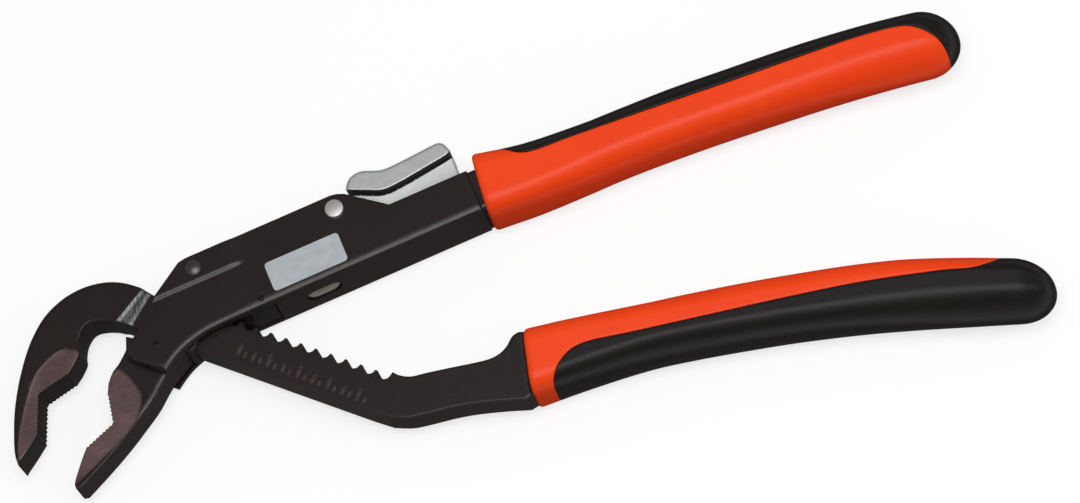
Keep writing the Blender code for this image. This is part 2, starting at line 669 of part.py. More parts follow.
def make_swivel_saddle():
    """The saddle that the arm slides in, with a round trunnion in each cheek."""
    drop = arm_depth + clearance
    shoulder = math.degrees(math.asin(strap_half_width / ear_radius))
    outline = arc((0.0, 0.0), ear_radius, 270 - shoulder, shoulder - 90, 16)
    outline += [(strap_half_width, -drop - bridge_thickness), (-strap_half_width, -drop - bridge_thickness)]
    saddle = plate("swivel_saddle", outline, inner_half, lower_limb, 0.0, dull_steel)
    wide = ear_radius + overrun
    slot = [(-wide, -drop), (wide, -drop), (wide, wide), (-wide, wide)]
    boolean(saddle, plate("arm_slot", slot, arm_half + clearance, lower_limb), "DIFFERENCE")
    for side, sign in (("top", 1), ("bottom", -1)):
        heights = sorted((sign * (inner_half - saddle_plate / 2), sign * (inner_half + trunnion_depth)),
                         reverse=True)
        boolean(saddle, rod(f"trunnion_{side}", (0.0, 0.0), trunnion_radius, *heights, lower_limb), "UNION")


def make_thumb_lever():
    """The thumb lever: pad, web, hub and the tongue that lifts the pawl."""
    tip = notch_front + pawl_travel * math.sin(math.radians(-rack_in_body)) + 2 * clearance
    top = tongue_low + tongue_height
    outline = ([(tip, tongue_low), (tip, top)] + scaled(tongue_shares, lever_x, lever_y)
               + scaled(lever_top_shares, lever_rear, lever_y, lever_x)
               + scaled(lever_floor_shares, lever_rear, lever_y, lever_x)
               + scaled(tongue_floor_shares, lever_x, lever_y) + [(web_start, tongue_low)])
    lever = plate("thumb_lever", outline, lever_web / 2, upper_limb, 0.0, bright_steel)
    pad = plate("lever_pad", scaled(pad_shares, lever_rear, lever_y, lever_x), lever_pad / 2, upper_limb)
    boolean(lever, pad, "UNION")
    hub = rod("lever_hub", (lever_x, lever_y), boss_radius, inner_half, -inner_half, upper_limb)
    boolean(lever, hub, "UNION")
    drill(lever, (lever_x, lever_y), lever_rivet_radius + clearance, body_half, upper_limb)


def make_lever_spring():
    """The leaf spring under the lever, lying on the web."""
    level = -body_belly + sheet + clearance + spring_strip / 2
    rise = lever_y * lever_floor_shares[2][1] - clearance - spring_strip / 2
    start = web_start + 2 * clearance
    centres = [(start, level + 3 * spring_strip), (start + spring_strip / 2, level + spring_strip),
               (start + 2 * spring_strip, level), (lever_x, level)]
    centres += [(x, level + y) for x, y in scaled(leaf_shares, lever_rear, rise - level, lever_x)]
    outline = strip(centres, [spring_strip / 2] * len(centres))
    plate("lever_spring", outline, lever_web / 2, upper_limb, 0.0, bright_steel)


for old in list(bpy.data.objects):
    bpy.data.objects.remove(old)

parts = bpy.data.collections.new("water_pump_pliers")
cutters = bpy.data.collections.new("cutters")
for collection in (parts, cutters):
    bpy.context.scene.collection.children.link(collection)

black_steel = make_material("black phosphated steel", "#241F20", 0.5, 0.6)
dull_steel = make_material("dull steel", "#6A6664", 0.45, 0.9)
bright_steel = make_material("zinc plated steel", "#B8BCBE", 0.3, 0.95)
orange_grip = make_material("orange grip", "#F0522B", 0.45, 0.0)
black_grip = make_material("black grip", "#1A1718", 0.6, 0.0)

upper_limb = bpy.data.objects.new("upper_limb", None)
lower_limb = bpy.data.objects.new("lower_limb", None)
for limb, degrees in ((upper_limb, body_angle), (lower_limb, rack_angle)):
    parts.objects.link(limb)
    limb.location = (pivot_x, pivot_y, mid_height)
    limb.rotation_euler = (0.0, 0.0, math.radians(degrees))

upper_grip = (upper_grip_x, upper_grip_y, upper_grip_angle, upper_grip_length)
lower_grip = (lower_grip_x, shank_rise, lower_grip_angle, lower_grip_length)

make_channel_frame()
make_lower_jaw()
make_hook_jaw_limb()
make_swivel_saddle()
make_locking_pawl()
make_guide_block()
make_thumb_lever()
make_lever_spring()
make_rivet("front_rivet", front_rivet_place(), front_rivet_radius, front_rivet_head,
           body_half + pad_rise + pin_fit, upper_limb, dull_steel)
make_rivet("lever_rivet", (lever_x, lever_y), lever_rivet_radius, lever_rivet_head,
           body_half + pin_fit, upper_limb, bright_steel)
rod("lower_jaw_pin", (-pin_x, -pin_drop), pin_radius, body_half, -body_half, upper_limb, dull_steel)
rod("guide_block_pin", (pin_x, -pin_drop), pin_radius, body_half, -body_half, upper_limb, dull_steel)
make_grip("upper", upper_grip_shares, upper_inlay_shares, upper_grip, 1,
          tang_outline(body_tang_shares, upper_grip, body_tang_start), upper_limb)
make_grip("lower", lower_grip_shares, lower_inlay_shares, lower_grip, -1,
          tang_outline(limb_tang_shares, lower_grip, limb_tang_start), lower_limb)
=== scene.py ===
"""Looks of the water pump pliers: forged and folded black steel, a plated thumb lever and two-colour grips.

Lengths are in millimetres, and turn to metres where a mesh, a material or the camera is made. The pliers lie
flat on the floor in the frame of the solids: the jaws point to -X and +Z is up. A limb's own frame has the
jaw pivot at its origin and X along the limb, at mid height.
"""

import math

import bmesh
import bpy
import numpy as np
from mathutils import Matrix, Vector
from mathutils.geometry import delaunay_2d_cdt


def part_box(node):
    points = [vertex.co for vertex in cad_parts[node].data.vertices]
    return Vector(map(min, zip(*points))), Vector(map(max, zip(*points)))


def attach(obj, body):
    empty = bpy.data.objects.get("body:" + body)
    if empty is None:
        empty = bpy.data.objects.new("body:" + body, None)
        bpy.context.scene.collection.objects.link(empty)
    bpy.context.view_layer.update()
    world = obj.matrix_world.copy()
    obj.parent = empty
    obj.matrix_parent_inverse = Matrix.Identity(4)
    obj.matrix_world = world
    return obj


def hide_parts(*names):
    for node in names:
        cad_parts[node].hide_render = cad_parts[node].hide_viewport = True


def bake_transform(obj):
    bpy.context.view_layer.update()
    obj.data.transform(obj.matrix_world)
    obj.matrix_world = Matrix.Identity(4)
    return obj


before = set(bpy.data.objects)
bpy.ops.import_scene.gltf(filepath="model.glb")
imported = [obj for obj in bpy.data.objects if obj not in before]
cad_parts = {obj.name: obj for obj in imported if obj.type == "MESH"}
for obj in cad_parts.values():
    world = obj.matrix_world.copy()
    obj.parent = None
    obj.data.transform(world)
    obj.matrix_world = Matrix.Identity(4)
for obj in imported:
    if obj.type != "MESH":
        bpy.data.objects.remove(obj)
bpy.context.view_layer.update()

MM = 0.001

# The jaw pivot, the limbs' angles in degrees, and the clearance between pieces that move
PIVOT = (-77.4, 6.6, 9.2)
BODY_ANGLE = 11.7
RACK_ANGLE = -33.0
CLOSE_TURN = 9.0
CLEARANCE = 0.3

# Folded body
BODY_HALF = 7.85
BODY_REACH = 74.0
BODY_CREST = 13.3
BODY_BELLY = 6.9
BODY_TAIL = 4.6
CHEEK_FRONT = 22.5
SHEET = 2.2
WEB_START = 17.03
WINDOW_X = 29.3
WINDOW_RUN = 2.0

# Forged lower limb
TOOTH_PITCH = 4.15
RACK_END = 12 * TOOTH_PITCH
ARM_HALF = 4.55
ARM_DEPTH = 10.6
SHOULDER_DROP = 1.1
SHANK_REACH = 33.2
SHANK_RISE = 14.45
SHANK_LEAN = 30.0
HOOK_REACH = 38.6
HOOK_DEPTH = 53.9
HOOK_HALF = 5.2

# Lower jaw, and what the grinding wheel took off both jaws
JAW_REACH = 46.3
JAW_DROP = 30.6
GRIND = 0.3
GRIND_SLOPE = 0.5
TOOTH_CUT = 0.3

# Saddle
EAR_RADIUS = 5.6
STRAP_HALF = 2.2
STRAP_THICKNESS = 0.8

# Thumb lever and its rivet
LEVER_X = 39.8
LEVER_Y = 9.2
LEVER_REAR = BODY_REACH - 1.9 - LEVER_X

# Grips
GRIP_UNIT = 8.0
GRIP_HALF = 9.2
GRIP_CROWN = 0.3
GRIP_END = 9.5
GRIP_LIP = 1.2
UPPER_GRIP_LEAN = -6.6

# Width and height that outlines are given in shares of, and where they start along the limb
HOOK = (HOOK_REACH, HOOK_DEPTH)
SHANK = (SHANK_REACH, SHANK_RISE, RACK_END)
JAW = (JAW_REACH, JAW_DROP)
LEVER = (LEVER_REAR, LEVER_Y, LEVER_X)


def srgb(code):
    """Turn an sRGB hex value to a linear colour."""
    channels = [int(code[i:i + 2], 16) / 255 for i in (1, 3, 5)]
    return [c / 12.92 if c <= 0.04045 else ((c + 0.055) / 1.055) ** 2.4 for c in channels] + [1.0]


def add(material, kind, inputs=None, **settings):
    """Add a node with its settings; an input is a value or the output that feeds it."""
    tree = material.node_tree
    node = tree.nodes.new(kind)
    for name, value in settings.items():
        setattr(node, name, value)
    for name, value in (inputs or {}).items():
        if isinstance(value, bpy.types.NodeSocket):
            tree.links.new(value, node.inputs[name])
        else:
            node.inputs[name].default_value = value
    return node


def new_material(name, **fixed):
    """Return an empty node material with its shader, whose fixed values are set, and its places."""
    material = bpy.data.materials.new(name)
    material.use_nodes = True
    shader = material.node_tree.nodes["Principled BSDF"]
    for socket, value in fixed.items():
        shader.inputs[socket.replace("_", " ")].default_value = value
    return material, shader, add(material, "ShaderNodeTexCoord").outputs["Object"]


def feed(material, shader, **outputs):
    """Link outputs to the shader's sockets."""
    for socket, output in outputs.items():
        material.node_tree.links.new(output, shader.inputs[socket.replace("_", " ")])


def toned(material, shader, pattern, dark, light, start=0.0, end=1.0):
    """Colour a surface from a dark tone to a light one, as a pattern goes between two levels."""
    share = add(material, "ShaderNodeMapRange", {"Value": pattern, "From Min": start, "From Max": end})
    tone = add(material, "ShaderNodeMix", {0: share.outputs["Result"], 6: srgb(dark), 7: srgb(light)},
               data_type="RGBA")
    feed(material, shader, Base_Color=tone.outputs[2])


def mottled(name, size, detail, dark, light, **fixed):
    """A material whose colour wanders between two tones over a size, with its shader and places."""
    material, shader, place = new_material(name, **fixed)
    noise = add(material, "ShaderNodeTexNoise", {"Vector": place, "Scale": 1 / (size * MM), "Detail": detail})
    toned(material, shader, noise.outputs["Fac"], dark, light)
    return material, shader, place


def grained(material, shader, place, size, detail, strength, depth):
    """Give a surface the relief of a noise over a size, and return the noise."""
    noise = add(material, "ShaderNodeTexNoise", {"Vector": place, "Scale": 1 / (size * MM), "Detail": detail})
    bump = add(material, "ShaderNodeBump", {"Height": noise.outputs["Fac"], "Strength": strength,
                                            "Distance": depth * MM})
    feed(material, shader, Normal=bump.outputs["Normal"])
    return noise.outputs["Fac"]


def dulled_aslant(material, roughness):
    """Raise a roughness where the surface is seen aslant and its fine grain shades itself."""
    facing = add(material, "ShaderNodeLayerWeight", {"Blend": 0.5})
    slant = add(material, "ShaderNodeMapRange", {"Value": facing.outputs["Facing"], "From Min": 0.35,
                                                 "From Max": 0.62, "To Min": 0.0, "To Max": 0.65})
    both = add(material, "ShaderNodeMath", {0: roughness, 1: slant.outputs["Result"]}, operation="ADD")
    return both.outputs[0]


def phosphated_steel():
    """Forged and folded steel, phosphated: near black, with a fine matt crystal grain and a soft sheen."""
    material, shader, place = mottled("phosphated steel", 14.0, 2.0, "#140A09", "#1F1311", Metallic=0.0,
                                      Specular_IOR_Level=0.32)
    # The crystals are a few hundredths of a millimetre; drawn at 0.35 mm so that they show
    crystals = grained(material, shader, place, 0.35, 3.0, 0.3, 0.05)
    speck = add(material, "ShaderNodeMapRange", {"Value": crystals, "From Min": 0.35, "From Max": 0.75,
                                                 "To Min": 0.28, "To Max": 0.38})
    feed(material, shader, Roughness=dulled_aslant(material, speck.outputs["Result"]))
    return material


def burnished_steel():
    """Black finish worn off where the cheeks slide over the neck: grey steel, streaked across the band."""
    material, shader, place = new_material("burnished steel", Metallic=0.5, Roughness=0.36)
    drawn = add(material, "ShaderNodeMapping", {"Vector": place, "Scale": (6.0, 1.0, 1.0)}).outputs[0]
    streaks = grained(material, shader, drawn, 2.5, 4.0, 0.15, 0.03)
    toned(material, shader, streaks, "#2E2C2D", "#6A6A6C", 0.35, 0.65)
    return material


def ground_steel():
    """Jaw faces ground after blackening: brownish grey, with fine straight marks of the wheel."""
    material, shader, place = new_material("ground steel", Metallic=0.35, Roughness=0.42)
    turned = add(material, "ShaderNodeMapping", {"Vector": place, "Rotation": (0.0, 0.0, math.radians(28)),
                                                 "Scale": (1.0, 14.0, 1.0)}).outputs[0]
    # Wheel marks are about 0.1 mm apart; drawn at 0.2 mm
    marks = grained(material, shader, turned, 3.0, 4.0, 0.2, 0.04)
    heat = add(material, "ShaderNodeTexNoise", {"Vector": place, "Scale": 1 / (9 * MM), "Detail": 1.0})
    blend = add(material, "ShaderNodeMath", {0: marks, 1: heat.outputs["Fac"]}, operation="MULTIPLY")
    toned(material, shader, blend.outputs[0], "#352827", "#6D5452", 0.02, 0.48)
    return material


def zinc_plate():
    """Pressed steel with bright zinc plating: cool silver, with a soft mottle and a few fine rubs."""
    material, shader, place = mottled("zinc plate", 1.6, 3.0, "#ADAFAF", "#C6C8C7", Metallic=0.8)
    drawn = add(material, "ShaderNodeMapping", {"Vector": place, "Scale": (1.0, 12.0, 1.0)}).outputs[0]
    rubs = grained(material, shader, drawn, 4.0, 5.0, 0.05, 0.04)
    gloss = add(material, "ShaderNodeMapRange", {"Value": rubs, "From Min": 0.3, "From Max": 0.7,
                                                 "To Min": 0.38, "To Max": 0.5})
    feed(material, shader, Roughness=gloss.outputs["Result"])
    return material


def headed_steel(name, dark, light):
    """Cold-headed or rolled steel: an even grey, with a fine grain that breaks up its sheen."""
    material, shader, place = mottled(name, 0.3, 3.0, dark, light, Metallic=0.8, Roughness=0.38)
    grained(material, shader, place, 0.3, 3.0, 0.1, 0.03)
    return material


def moulded(name, dark, light, roughness, depth):
    """Moulded thermoplastic: a low, even gloss over a fine sprayed texture, with slow changes of tone."""
    material, shader, place = mottled(name, 20.0, 2.0, dark, light, Metallic=0.0, IOR=1.5,
                                      Specular_IOR_Level=0.2)
    # The texture of the moulds is about 0.1 mm; drawn at 0.3 mm so that it shows
    grain = grained(material, shader, place, 0.3, 2.0, 0.25, depth)
    gloss = add(material, "ShaderNodeMapRange", {"Value": grain, "From Min": 0.3, "From Max": 0.7,
                                                 "To Min": roughness - 0.05, "To Max": roughness + 0.07})
    feed(material, shader, Roughness=dulled_aslant(material, gloss.outputs["Result"]))
    return material


BLACK_STEEL = phosphated_steel()
GROUND_STEEL = ground_steel()
BURNISHED = burnished_steel()
ZINC = zinc_plate()
# Blackened steel rubbed on its high places: a slightly lighter grey-brown, worn through in specks
WORN_STEEL = mottled("rubbed black steel", 0.8, 4.0, "#221B1B", "#514543", Metallic=0.2, Roughness=0.5,
                     Specular_IOR_Level=0.2)[0]
# Zinc plate painted dark grey and matt as shade: it goes in the groove beside the pad and on the pad's lower
# side wall, where shade falls
ZINC_PAINTED_SHADE = mottled("zinc plate with painted shade", 0.7, 4.0, "#202222", "#484B4A", Metallic=0.25, Roughness=0.65)[0]
# Pad-printed ink: a thin, matt, cool grey film, slightly uneven where the pad lifted
PRINT = mottled("pad-printed grey ink", 2.5, 4.0, "#A0A5AB", "#BEC3C7", Metallic=0.0, Roughness=0.6,
                Specular_IOR_Level=0.2)[0]
BRIGHT_RIVET = headed_steel("bright rivet steel", "#B4B0AD", "#D0CCC9")
DULL_RIVET = headed_steel("dull rivet steel", "#3E3838", "#5E5757")
SPRING_STEEL = headed_steel("tempered spring steel", "#4C443B", "#6B6053")
ORANGE = moulded("orange polypropylene", "#F03E0C", "#F84A14", 0.4, 0.02)
BLACK_RUBBER = moulded("black thermoplastic rubber", "#100D0D", "#171211", 0.42, 0.03)


def turned_frame(place, angle):
    """The frame at a place, turned about Z by an angle in degrees."""
    return Matrix.Translation(Vector(place) * MM) @ Matrix.Rotation(math.radians(angle), 4, "Z")


UPPER = turned_frame(PIVOT, BODY_ANGLE)
LOWER = turned_frame(PIVOT, RACK_ANGLE)


def ease(value):
    """A smooth step from 0 to 1."""
    value = np.clip(value, 0.0, 1.0)
    return value * value * (3 - 2 * value)


def spline(points, steps):
    """A smooth curve through the points, with extra points between them."""
    curve = []
    for i in range(len(points) - 1):
        before, start, end = (Vector(points[k]) for k in (max(i - 1, 0), i, i + 1))
        after = Vector(points[min(i + 2, len(points) - 1)])
        for k in range(steps):
            t = k / steps
            curve.append((2 * start + (end - before) * t + (2 * before - 5 * start + 4 * end - after) * t ** 2
                          + (3 * start - before - 3 * end + after) * t ** 3) / 2)
    return curve + [Vector(points[-1])]


def shares_to(shares, width, height, x=0.0):
    """Points of an outline given as shares of a width and a height."""
    return [(x + u * width, v * height) for u, v in shares]


def curved(shares, width, height, x=0.0, steps=4):
    """A smooth curve through points given as shares."""
    return [tuple(p) for p in spline(shares_to(shares, width, height, x), steps)]


def ring_faces(count, rings, first=0):
    """The faces of a form made of rings with a count of points each, and of a cap at either end."""
    last = first + (rings - 1) * count
    faces = [tuple(range(first, first + count)), tuple(range(last, last + count))]
    for ring in range(first, last, count):
        faces += [(ring + k, ring + (k + 1) % count, ring + (k + 1) % count + count, ring + k + count)
                  for k in range(count)]
    return faces


def placed(name, data):
    """A new object that shows some data, in the scene."""
    thing = bpy.data.objects.new(name, data)
    bpy.context.scene.collection.objects.link(thing)
    return thing


def build_mesh(name, points, faces, place):
    """A mesh of points in a limb's frame, put in its place, with its normals outward."""
    mesh = bpy.data.meshes.new(name)
    mesh.from_pydata([tuple(place @ (Vector(p) * MM)) for p in points], [], faces)
    bm = bmesh.new()
    bm.from_mesh(mesh)
    bmesh.ops.remove_doubles(bm, verts=bm.verts, dist=0.002 * MM)
    bmesh.ops.recalc_face_normals(bm, faces=bm.faces)
    bm.to_mesh(mesh)
    bm.free()
    return mesh


def shade(mesh, sharp):
    """Shade a mesh smooth, but for edges sharper than an angle in degrees."""
    mesh.shade_smooth()
    mesh.set_sharp_from_angle(angle=math.radians(sharp))


def keep_faces_flat(piece):
    """Let the flat faces of a piece rule the shading of the roundings beside them."""
    even = piece.modifiers.new("flat faces stay flat", "WEIGHTED_NORMAL")
    even.keep_sharp = True


def finish_mesh(name, points, faces, place, body, materials, node=None, sharp=50):
    """Make a piece that rides on a body unless it has none, and replaces a node if one is named."""
    mesh = build_mesh(name, points, faces, place)
    shade(mesh, sharp)
    for material in materials:
        mesh.materials.append(material)
    piece = placed(name, mesh)
    if body:
        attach(piece, body)
    if node:
        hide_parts(node)
    return piece


class Moulding:
    """One grip: its place on the limb, and its shape along its own X from the front face."""

    def __init__(self, limb, x, y, lean, length, table, outward):
        self.length = length
        self.outward = outward
        self.place = limb @ turned_frame((x, y, 0.0), lean)
        self.table = spline(table, 8)

    def row(self, x):
        """Centre offset, half width, rounding of the tail and inset of the lip at a place along the grip."""
        share = min(max(x / self.length, 0.0), 1.0)
        for a, b in zip(self.table, self.table[1:]):
            if share <= b[0]:
                break
        t = (share - a[0]) / (b[0] - a[0])
        centre, width = ((a[i] + (b[i] - a[i]) * t) * GRIP_UNIT for i in (1, 2))
        past = max(0.0, x - (self.length - GRIP_END)) / GRIP_END
        shrink = math.sqrt(max(0.0, 1.0 - past ** 2))
        inset = GRIP_LIP - math.sqrt(GRIP_LIP ** 2 - (GRIP_LIP - x) ** 2) if x < GRIP_LIP else 0.0
        return centre, max(width * shrink - inset, 0.0), shrink, inset

    def height(self, x, y):
        """Height of the surface above the middle plane."""
        centre, width, shrink, inset = self.row(x)
        if width <= 0.0:
            return 0.0
        across = min(abs(y - centre) / width, 1.0)
        # The section is fullest at the front face, and rounder on its lower side towards the tail
        fuller = 1.1 * max(0.0, 1.0 - x / (self.length * 0.25))
        rounder = 0.9 * float(ease((x / self.length - 0.5) / 0.4)) if y < centre else 0.0
        power = 2.7 + fuller - rounder
        crown = (GRIP_HALF + GRIP_CROWN) * shrink - inset
        return min((GRIP_HALF * shrink - inset), crown * (1.0 - across ** power) ** (1 / power))

    def edge(self, x, side):
        """The grip's outline seen from above, on one side."""
        centre, width, _, _ = self.row(x)
        return Vector((x, centre + side * width))

    def seam(self, shares):
        """The line between the two colours, cut off where it leaves the outline."""
        line = spline([(u * self.length, v * GRIP_UNIT) for u, v in shares], 10)
        clear = 0.15
        inside = []
        for p in line:
            centre, width, _, _ = self.row(p.x)
            if p.x < self.length and abs(p.y - centre) < width - clear:
                inside.append(p)
        start = self.edge(inside[0].x, self.outward)
        finish = self.edge(inside[-1].x, -self.outward)
        return [start] + inside + [finish]


def along(line, share):
    """The point at a share of a line's length."""
    steps = [(b - a).length for a, b in zip(line, line[1:])]
    left = share * sum(steps)
    for a, b, step in zip(line, line[1:], steps):
        if left <= step:
            return a + (b - a) * (left / step if step else 0.0)
        left -= step
    return line[-1].copy()


def moulded_skin(name, grip, pairs, material, body, node, closed_front):
    """A skin between a line and the grip's outline, with a rounded edge where it meets the other colour."""
    columns, rim, wall = 20, 0.35, 0.9
    rings = []
    for near, far in pairs:
        closing = (far - near).length < 0.01
        # The edge and the wall fade out where the skin runs thin at the outline
        strength = min(1.0, grip.height(near.x, near.y) / 2.0)
        row = []
        for k in range(columns + 1):
            place = near + (far - near) * (1 - math.cos(math.pi * k / columns)) / 2
            gap = (place - near).length
            drop = rim - math.sqrt(rim ** 2 - (rim - gap) ** 2) if gap < rim else 0.0
            height = 0.0 if closing else max(grip.height(place.x, place.y) - drop * strength, 0.0)
            row.append(Vector((place.x, place.y, height)))
        row[-1].z = 0.0
        top = [Vector((near.x, near.y, max(row[0].z - wall * strength, 0.0)))] + row
        rings.append(top + [Vector((p.x, p.y, -p.z)) for p in reversed(top[:-1])])
    if closed_front:
        centre, face = grip.row(0.0)[0], rings[0]
        # The front face runs in to the tang's socket, which goes a little way back
        for depth, scale, reach, rise in ((0.0, 0.86, math.inf, math.inf), (0.0, 0.6, 4.6, 4.95),
                                          (3.0, 0.58, 4.6, 4.95)):
            rings.insert(0, [Vector((depth, centre + max(-reach, min(reach, (p.y - centre) * scale)),
                                     max(-rise, min(rise, p.z * scale)))) for p in face])
    faces = ring_faces(len(rings[0]), len(rings))
    finish_mesh(name, sum(rings, []), faces, grip.place, body, [material], node)


def make_grip(prefix, grip, seam_shares, body):
    """The two moulded skins of a grip: the orange body and the black inlay on its outward side."""
    seam = grip.seam(seam_shares)
    # From here to the tail the rows fan out round the end instead of running straight across
    turn_x = 0.84 * grip.length
    straight = [p for p in seam if p.x < turn_x]
    tail_seam = [p for p in seam if p.x >= turn_x or p is seam[-1]]
    end, finish = grip.length - GRIP_END, seam[-1]
    tip, back = ([grip.edge(end + GRIP_END * math.sin(math.radians(a)), side) for a in range(0, 91, 6)]
                 for side in (grip.outward, -grip.outward))
    around = ([grip.edge(turn_x, grip.outward)] + [p for p in tip if p.x > turn_x]
              + [p for p in reversed(back) if p.x > finish.x + 0.1] + [finish])
    if finish.x < end:
        around.insert(-1, grip.edge((finish.x + end) / 2, -grip.outward))
    inner = [grip.edge(turn_x + (finish.x - turn_x) * k / 12, -grip.outward) for k in range(13)]
    fan = [k / 40 for k in range(41)]
    inlay_pairs = [(p, grip.edge(p.x, grip.outward)) for p in straight]
    inlay_pairs += [(along(tail_seam, share), along(around, share)) for share in fan]
    orange_pairs = [(grip.edge(x, grip.outward), grip.edge(x, -grip.outward))
                    for x in (0.0, 0.06, 0.2, 0.45, 0.9, 1.6, 2.6, 3.8) if x < seam[0].x]
    orange_pairs += [(p, grip.edge(p.x, -grip.outward)) for p in straight]
    orange_pairs += [(along(tail_seam, share), along(inner, share)) for share in fan]
    moulded_skin(prefix + "_grip_orange", grip, orange_pairs, ORANGE, body, prefix + "_grip_shell", True)
    moulded_skin(prefix + "_grip_black", grip, inlay_pairs, BLACK_RUBBER, body, prefix + "_grip_inlay", False)


# Each row: share of the length, offset of the middle and half width in grip units
upper_grip_shares = [(0.0, 0.0, 1.113), (0.1, -0.056, 1.013), (0.21, 0.038, 0.975), (0.31, 0.175, 0.969),
                     (0.42, 0.288, 0.988), (0.52, 0.338, 0.988), (0.63, 0.369, 1.013), (0.73, 0.363, 1.038),
                     (0.84, 0.3, 1.056), (0.94, 0.2, 1.04), (1.0, 0.14, 1.0)]
lower_grip_shares = [(0.0, 0.0, 1.113), (0.1, 0.2, 1.019), (0.21, 0.363, 0.938), (0.31, 0.444, 0.938),
                     (0.42, 0.475, 0.956), (0.52, 0.463, 0.975), (0.63, 0.388, 1.019), (0.73, 0.24, 1.056),
                     (0.84, -0.02, 1.038), (0.94, -0.28, 0.975), (1.0, -0.41, 0.95)]
upper_seam_shares = [(0.044, 1.7), (0.048, 1.2), (0.071, 0.75), (0.111, 0.413), (0.206, 0.463),
                     (0.341, 0.538), (0.54, 0.625), (0.667, 0.7), (0.794, 0.763), (0.881, 0.7),
                     (0.921, 0.475), (0.956, -0.1), (0.967, -0.713), (0.962, -1.5)]
lower_seam_shares = [(0.038, -1.7), (0.043, -0.925), (0.067, -0.238), (0.11, 0.15), (0.206, 0.238),
                     (0.353, 0.363), (0.499, 0.488), (0.645, 0.563), (0.789, 0.5), (0.855, 0.425),
                     (0.901, 0.625), (0.943, 1.125), (0.943, 1.85)]
# The front face leans with its grip, and its nearer corner stands 0.6 mm clear of the body
face_lead = 0.6 - 8.9 * math.sin(math.radians(UPPER_GRIP_LEAN))
make_grip("upper", Moulding(UPPER, BODY_REACH + face_lead, 0.4, UPPER_GRIP_LEAN, 125.6, upper_grip_shares, 1),
          upper_seam_shares, "upper_limb")
make_grip("lower", Moulding(LOWER, RACK_END + SHANK_REACH, SHANK_RISE, SHANK_LEAN, 130.8, lower_grip_shares,
                            -1), lower_seam_shares, "lower_limb")


def dense(outline, step):
    """A closed outline of (point, edge radius) pairs, filled up so that no side is longer than a step."""
    points, radii = [], []
    for (a, ra), (b, rb) in zip(outline, outline[1:] + outline[:1]):
        a, b = np.array(a, float), np.array(b, float)
        count = max(1, math.ceil(np.hypot(*(b - a)) / step))
        for k in range(count):
            points.append(a + (b - a) * k / count)
            radii.append(ra + (rb - ra) * k / count)
    return np.array(points), np.array(radii)


def nearest(places, a, b):
    """For each place, how far along a side its nearest point is, and how far away."""
    way = b - a
    t = np.clip((places - a) @ way / max(way @ way, 1e-12), 0.0, 1.0)
    return t, np.hypot(*(places - a - t[:, None] * way).T)


def line_distance(places, line):
    """Distance from each place to a line."""
    line = np.asarray(line)
    return np.min([nearest(places, a, b)[1] for a, b in zip(line, line[1:])], axis=0)


def edge_distance(places, outline):
    """Distance from each place to a closed outline."""
    return line_distance(places, np.append(outline, outline[:1], axis=0))


def edge_drop(places, outline, radii):
    """How far the edge's rounding lowers the surface; a wide one reaches further in than down."""
    drop = np.zeros(len(places))
    for i, a in enumerate(outline):
        j = (i + 1) % len(outline)
        t, gap = nearest(places, a, outline[j])
        r = radii[i] + (radii[j] - radii[i]) * t
        flattening = np.minimum(1.0, (0.5 + 0.15 * r) / r)
        drop = np.maximum(drop, flattening * (r - np.sqrt(r ** 2 - np.clip(r - gap, 0.0, None) ** 2)))
    return drop


def is_inside(places, outline):
    """Which places lie inside a closed outline."""
    inside = np.zeros(len(places), bool)
    x, y = places.T
    for (x0, y0), (x1, y1) in zip(outline, np.roll(outline, -1, axis=0)):
        if y0 != y1:
            inside ^= ((y0 > y) != (y1 > y)) & (x < (x1 - x0) * (y - y0) / (y1 - y0) + x0)
    return inside


def spaced(line, step):
    """A line with its points about a step apart."""
    points = []
    for a, b in zip(line, line[1:]):
        a, b = Vector(a), Vector(b)
        count = max(1, round((b - a).length / step))
        points += [tuple(a + (b - a) * k / count) for k in range(count)]
    return points + [tuple(line[-1])]


def plate_net(edge, radii, lines):
    """Points and joins of a plate's net: its edge, rings along it, its bend lines and a loose grid."""
    ahead = np.roll(edge, -1, axis=0) - edge
    ahead /= np.hypot(*ahead.T)[:, None]
    both = ahead + np.roll(ahead, 1, axis=0)
    inward = np.stack([-both[:, 1], both[:, 0]], axis=1)
    # The miter is held back at sharp corners
    inward /= np.maximum(np.sum(inward * np.stack([-ahead[:, 1], ahead[:, 0]], axis=1), axis=1), 0.4)[:, None]
    count = len(edge)
    places = [tuple(p) for p in edge]
    joins = [(i, (i + 1) % count) for i in range(count)]
    for depth in [radii * share for share in (0.03, 0.12, 0.26, 0.42, 0.6, 0.8, 1.0)] + [radii + 0.25]:
        ring = edge + inward * depth[:, None]
        clear = is_inside(ring, edge) & (edge_distance(ring, edge) > 0.93 * depth)
        first = len(places)
        number = {}
        for i in np.flatnonzero(clear):
            number[i] = first + len(number)
            places.append(tuple(ring[i]))
        joins += [(number[i], number[(i + 1) % count]) for i in number if (i + 1) % count in number]
    for line in lines:
        first = len(places)
        line = spaced(line, 0.8)
        places += line
        joins += [(first + i, first + i + 1) for i in range(len(line) - 1)]
    low, high = edge.min(axis=0), edge.max(axis=0)
    grid = np.array([(x + (k % 2) * 1.3, y) for k, y in enumerate(np.arange(low[1], high[1], 2.2))
                     for x in np.arange(low[0], high[0], 2.6)])
    grid = grid[is_inside(grid, edge) & (edge_distance(grid, edge) > 1.6)]
    for line in lines:
        grid = grid[line_distance(grid, line) > 1.0]
    return [Vector(p) for p in places + [tuple(p) for p in grid]], joins


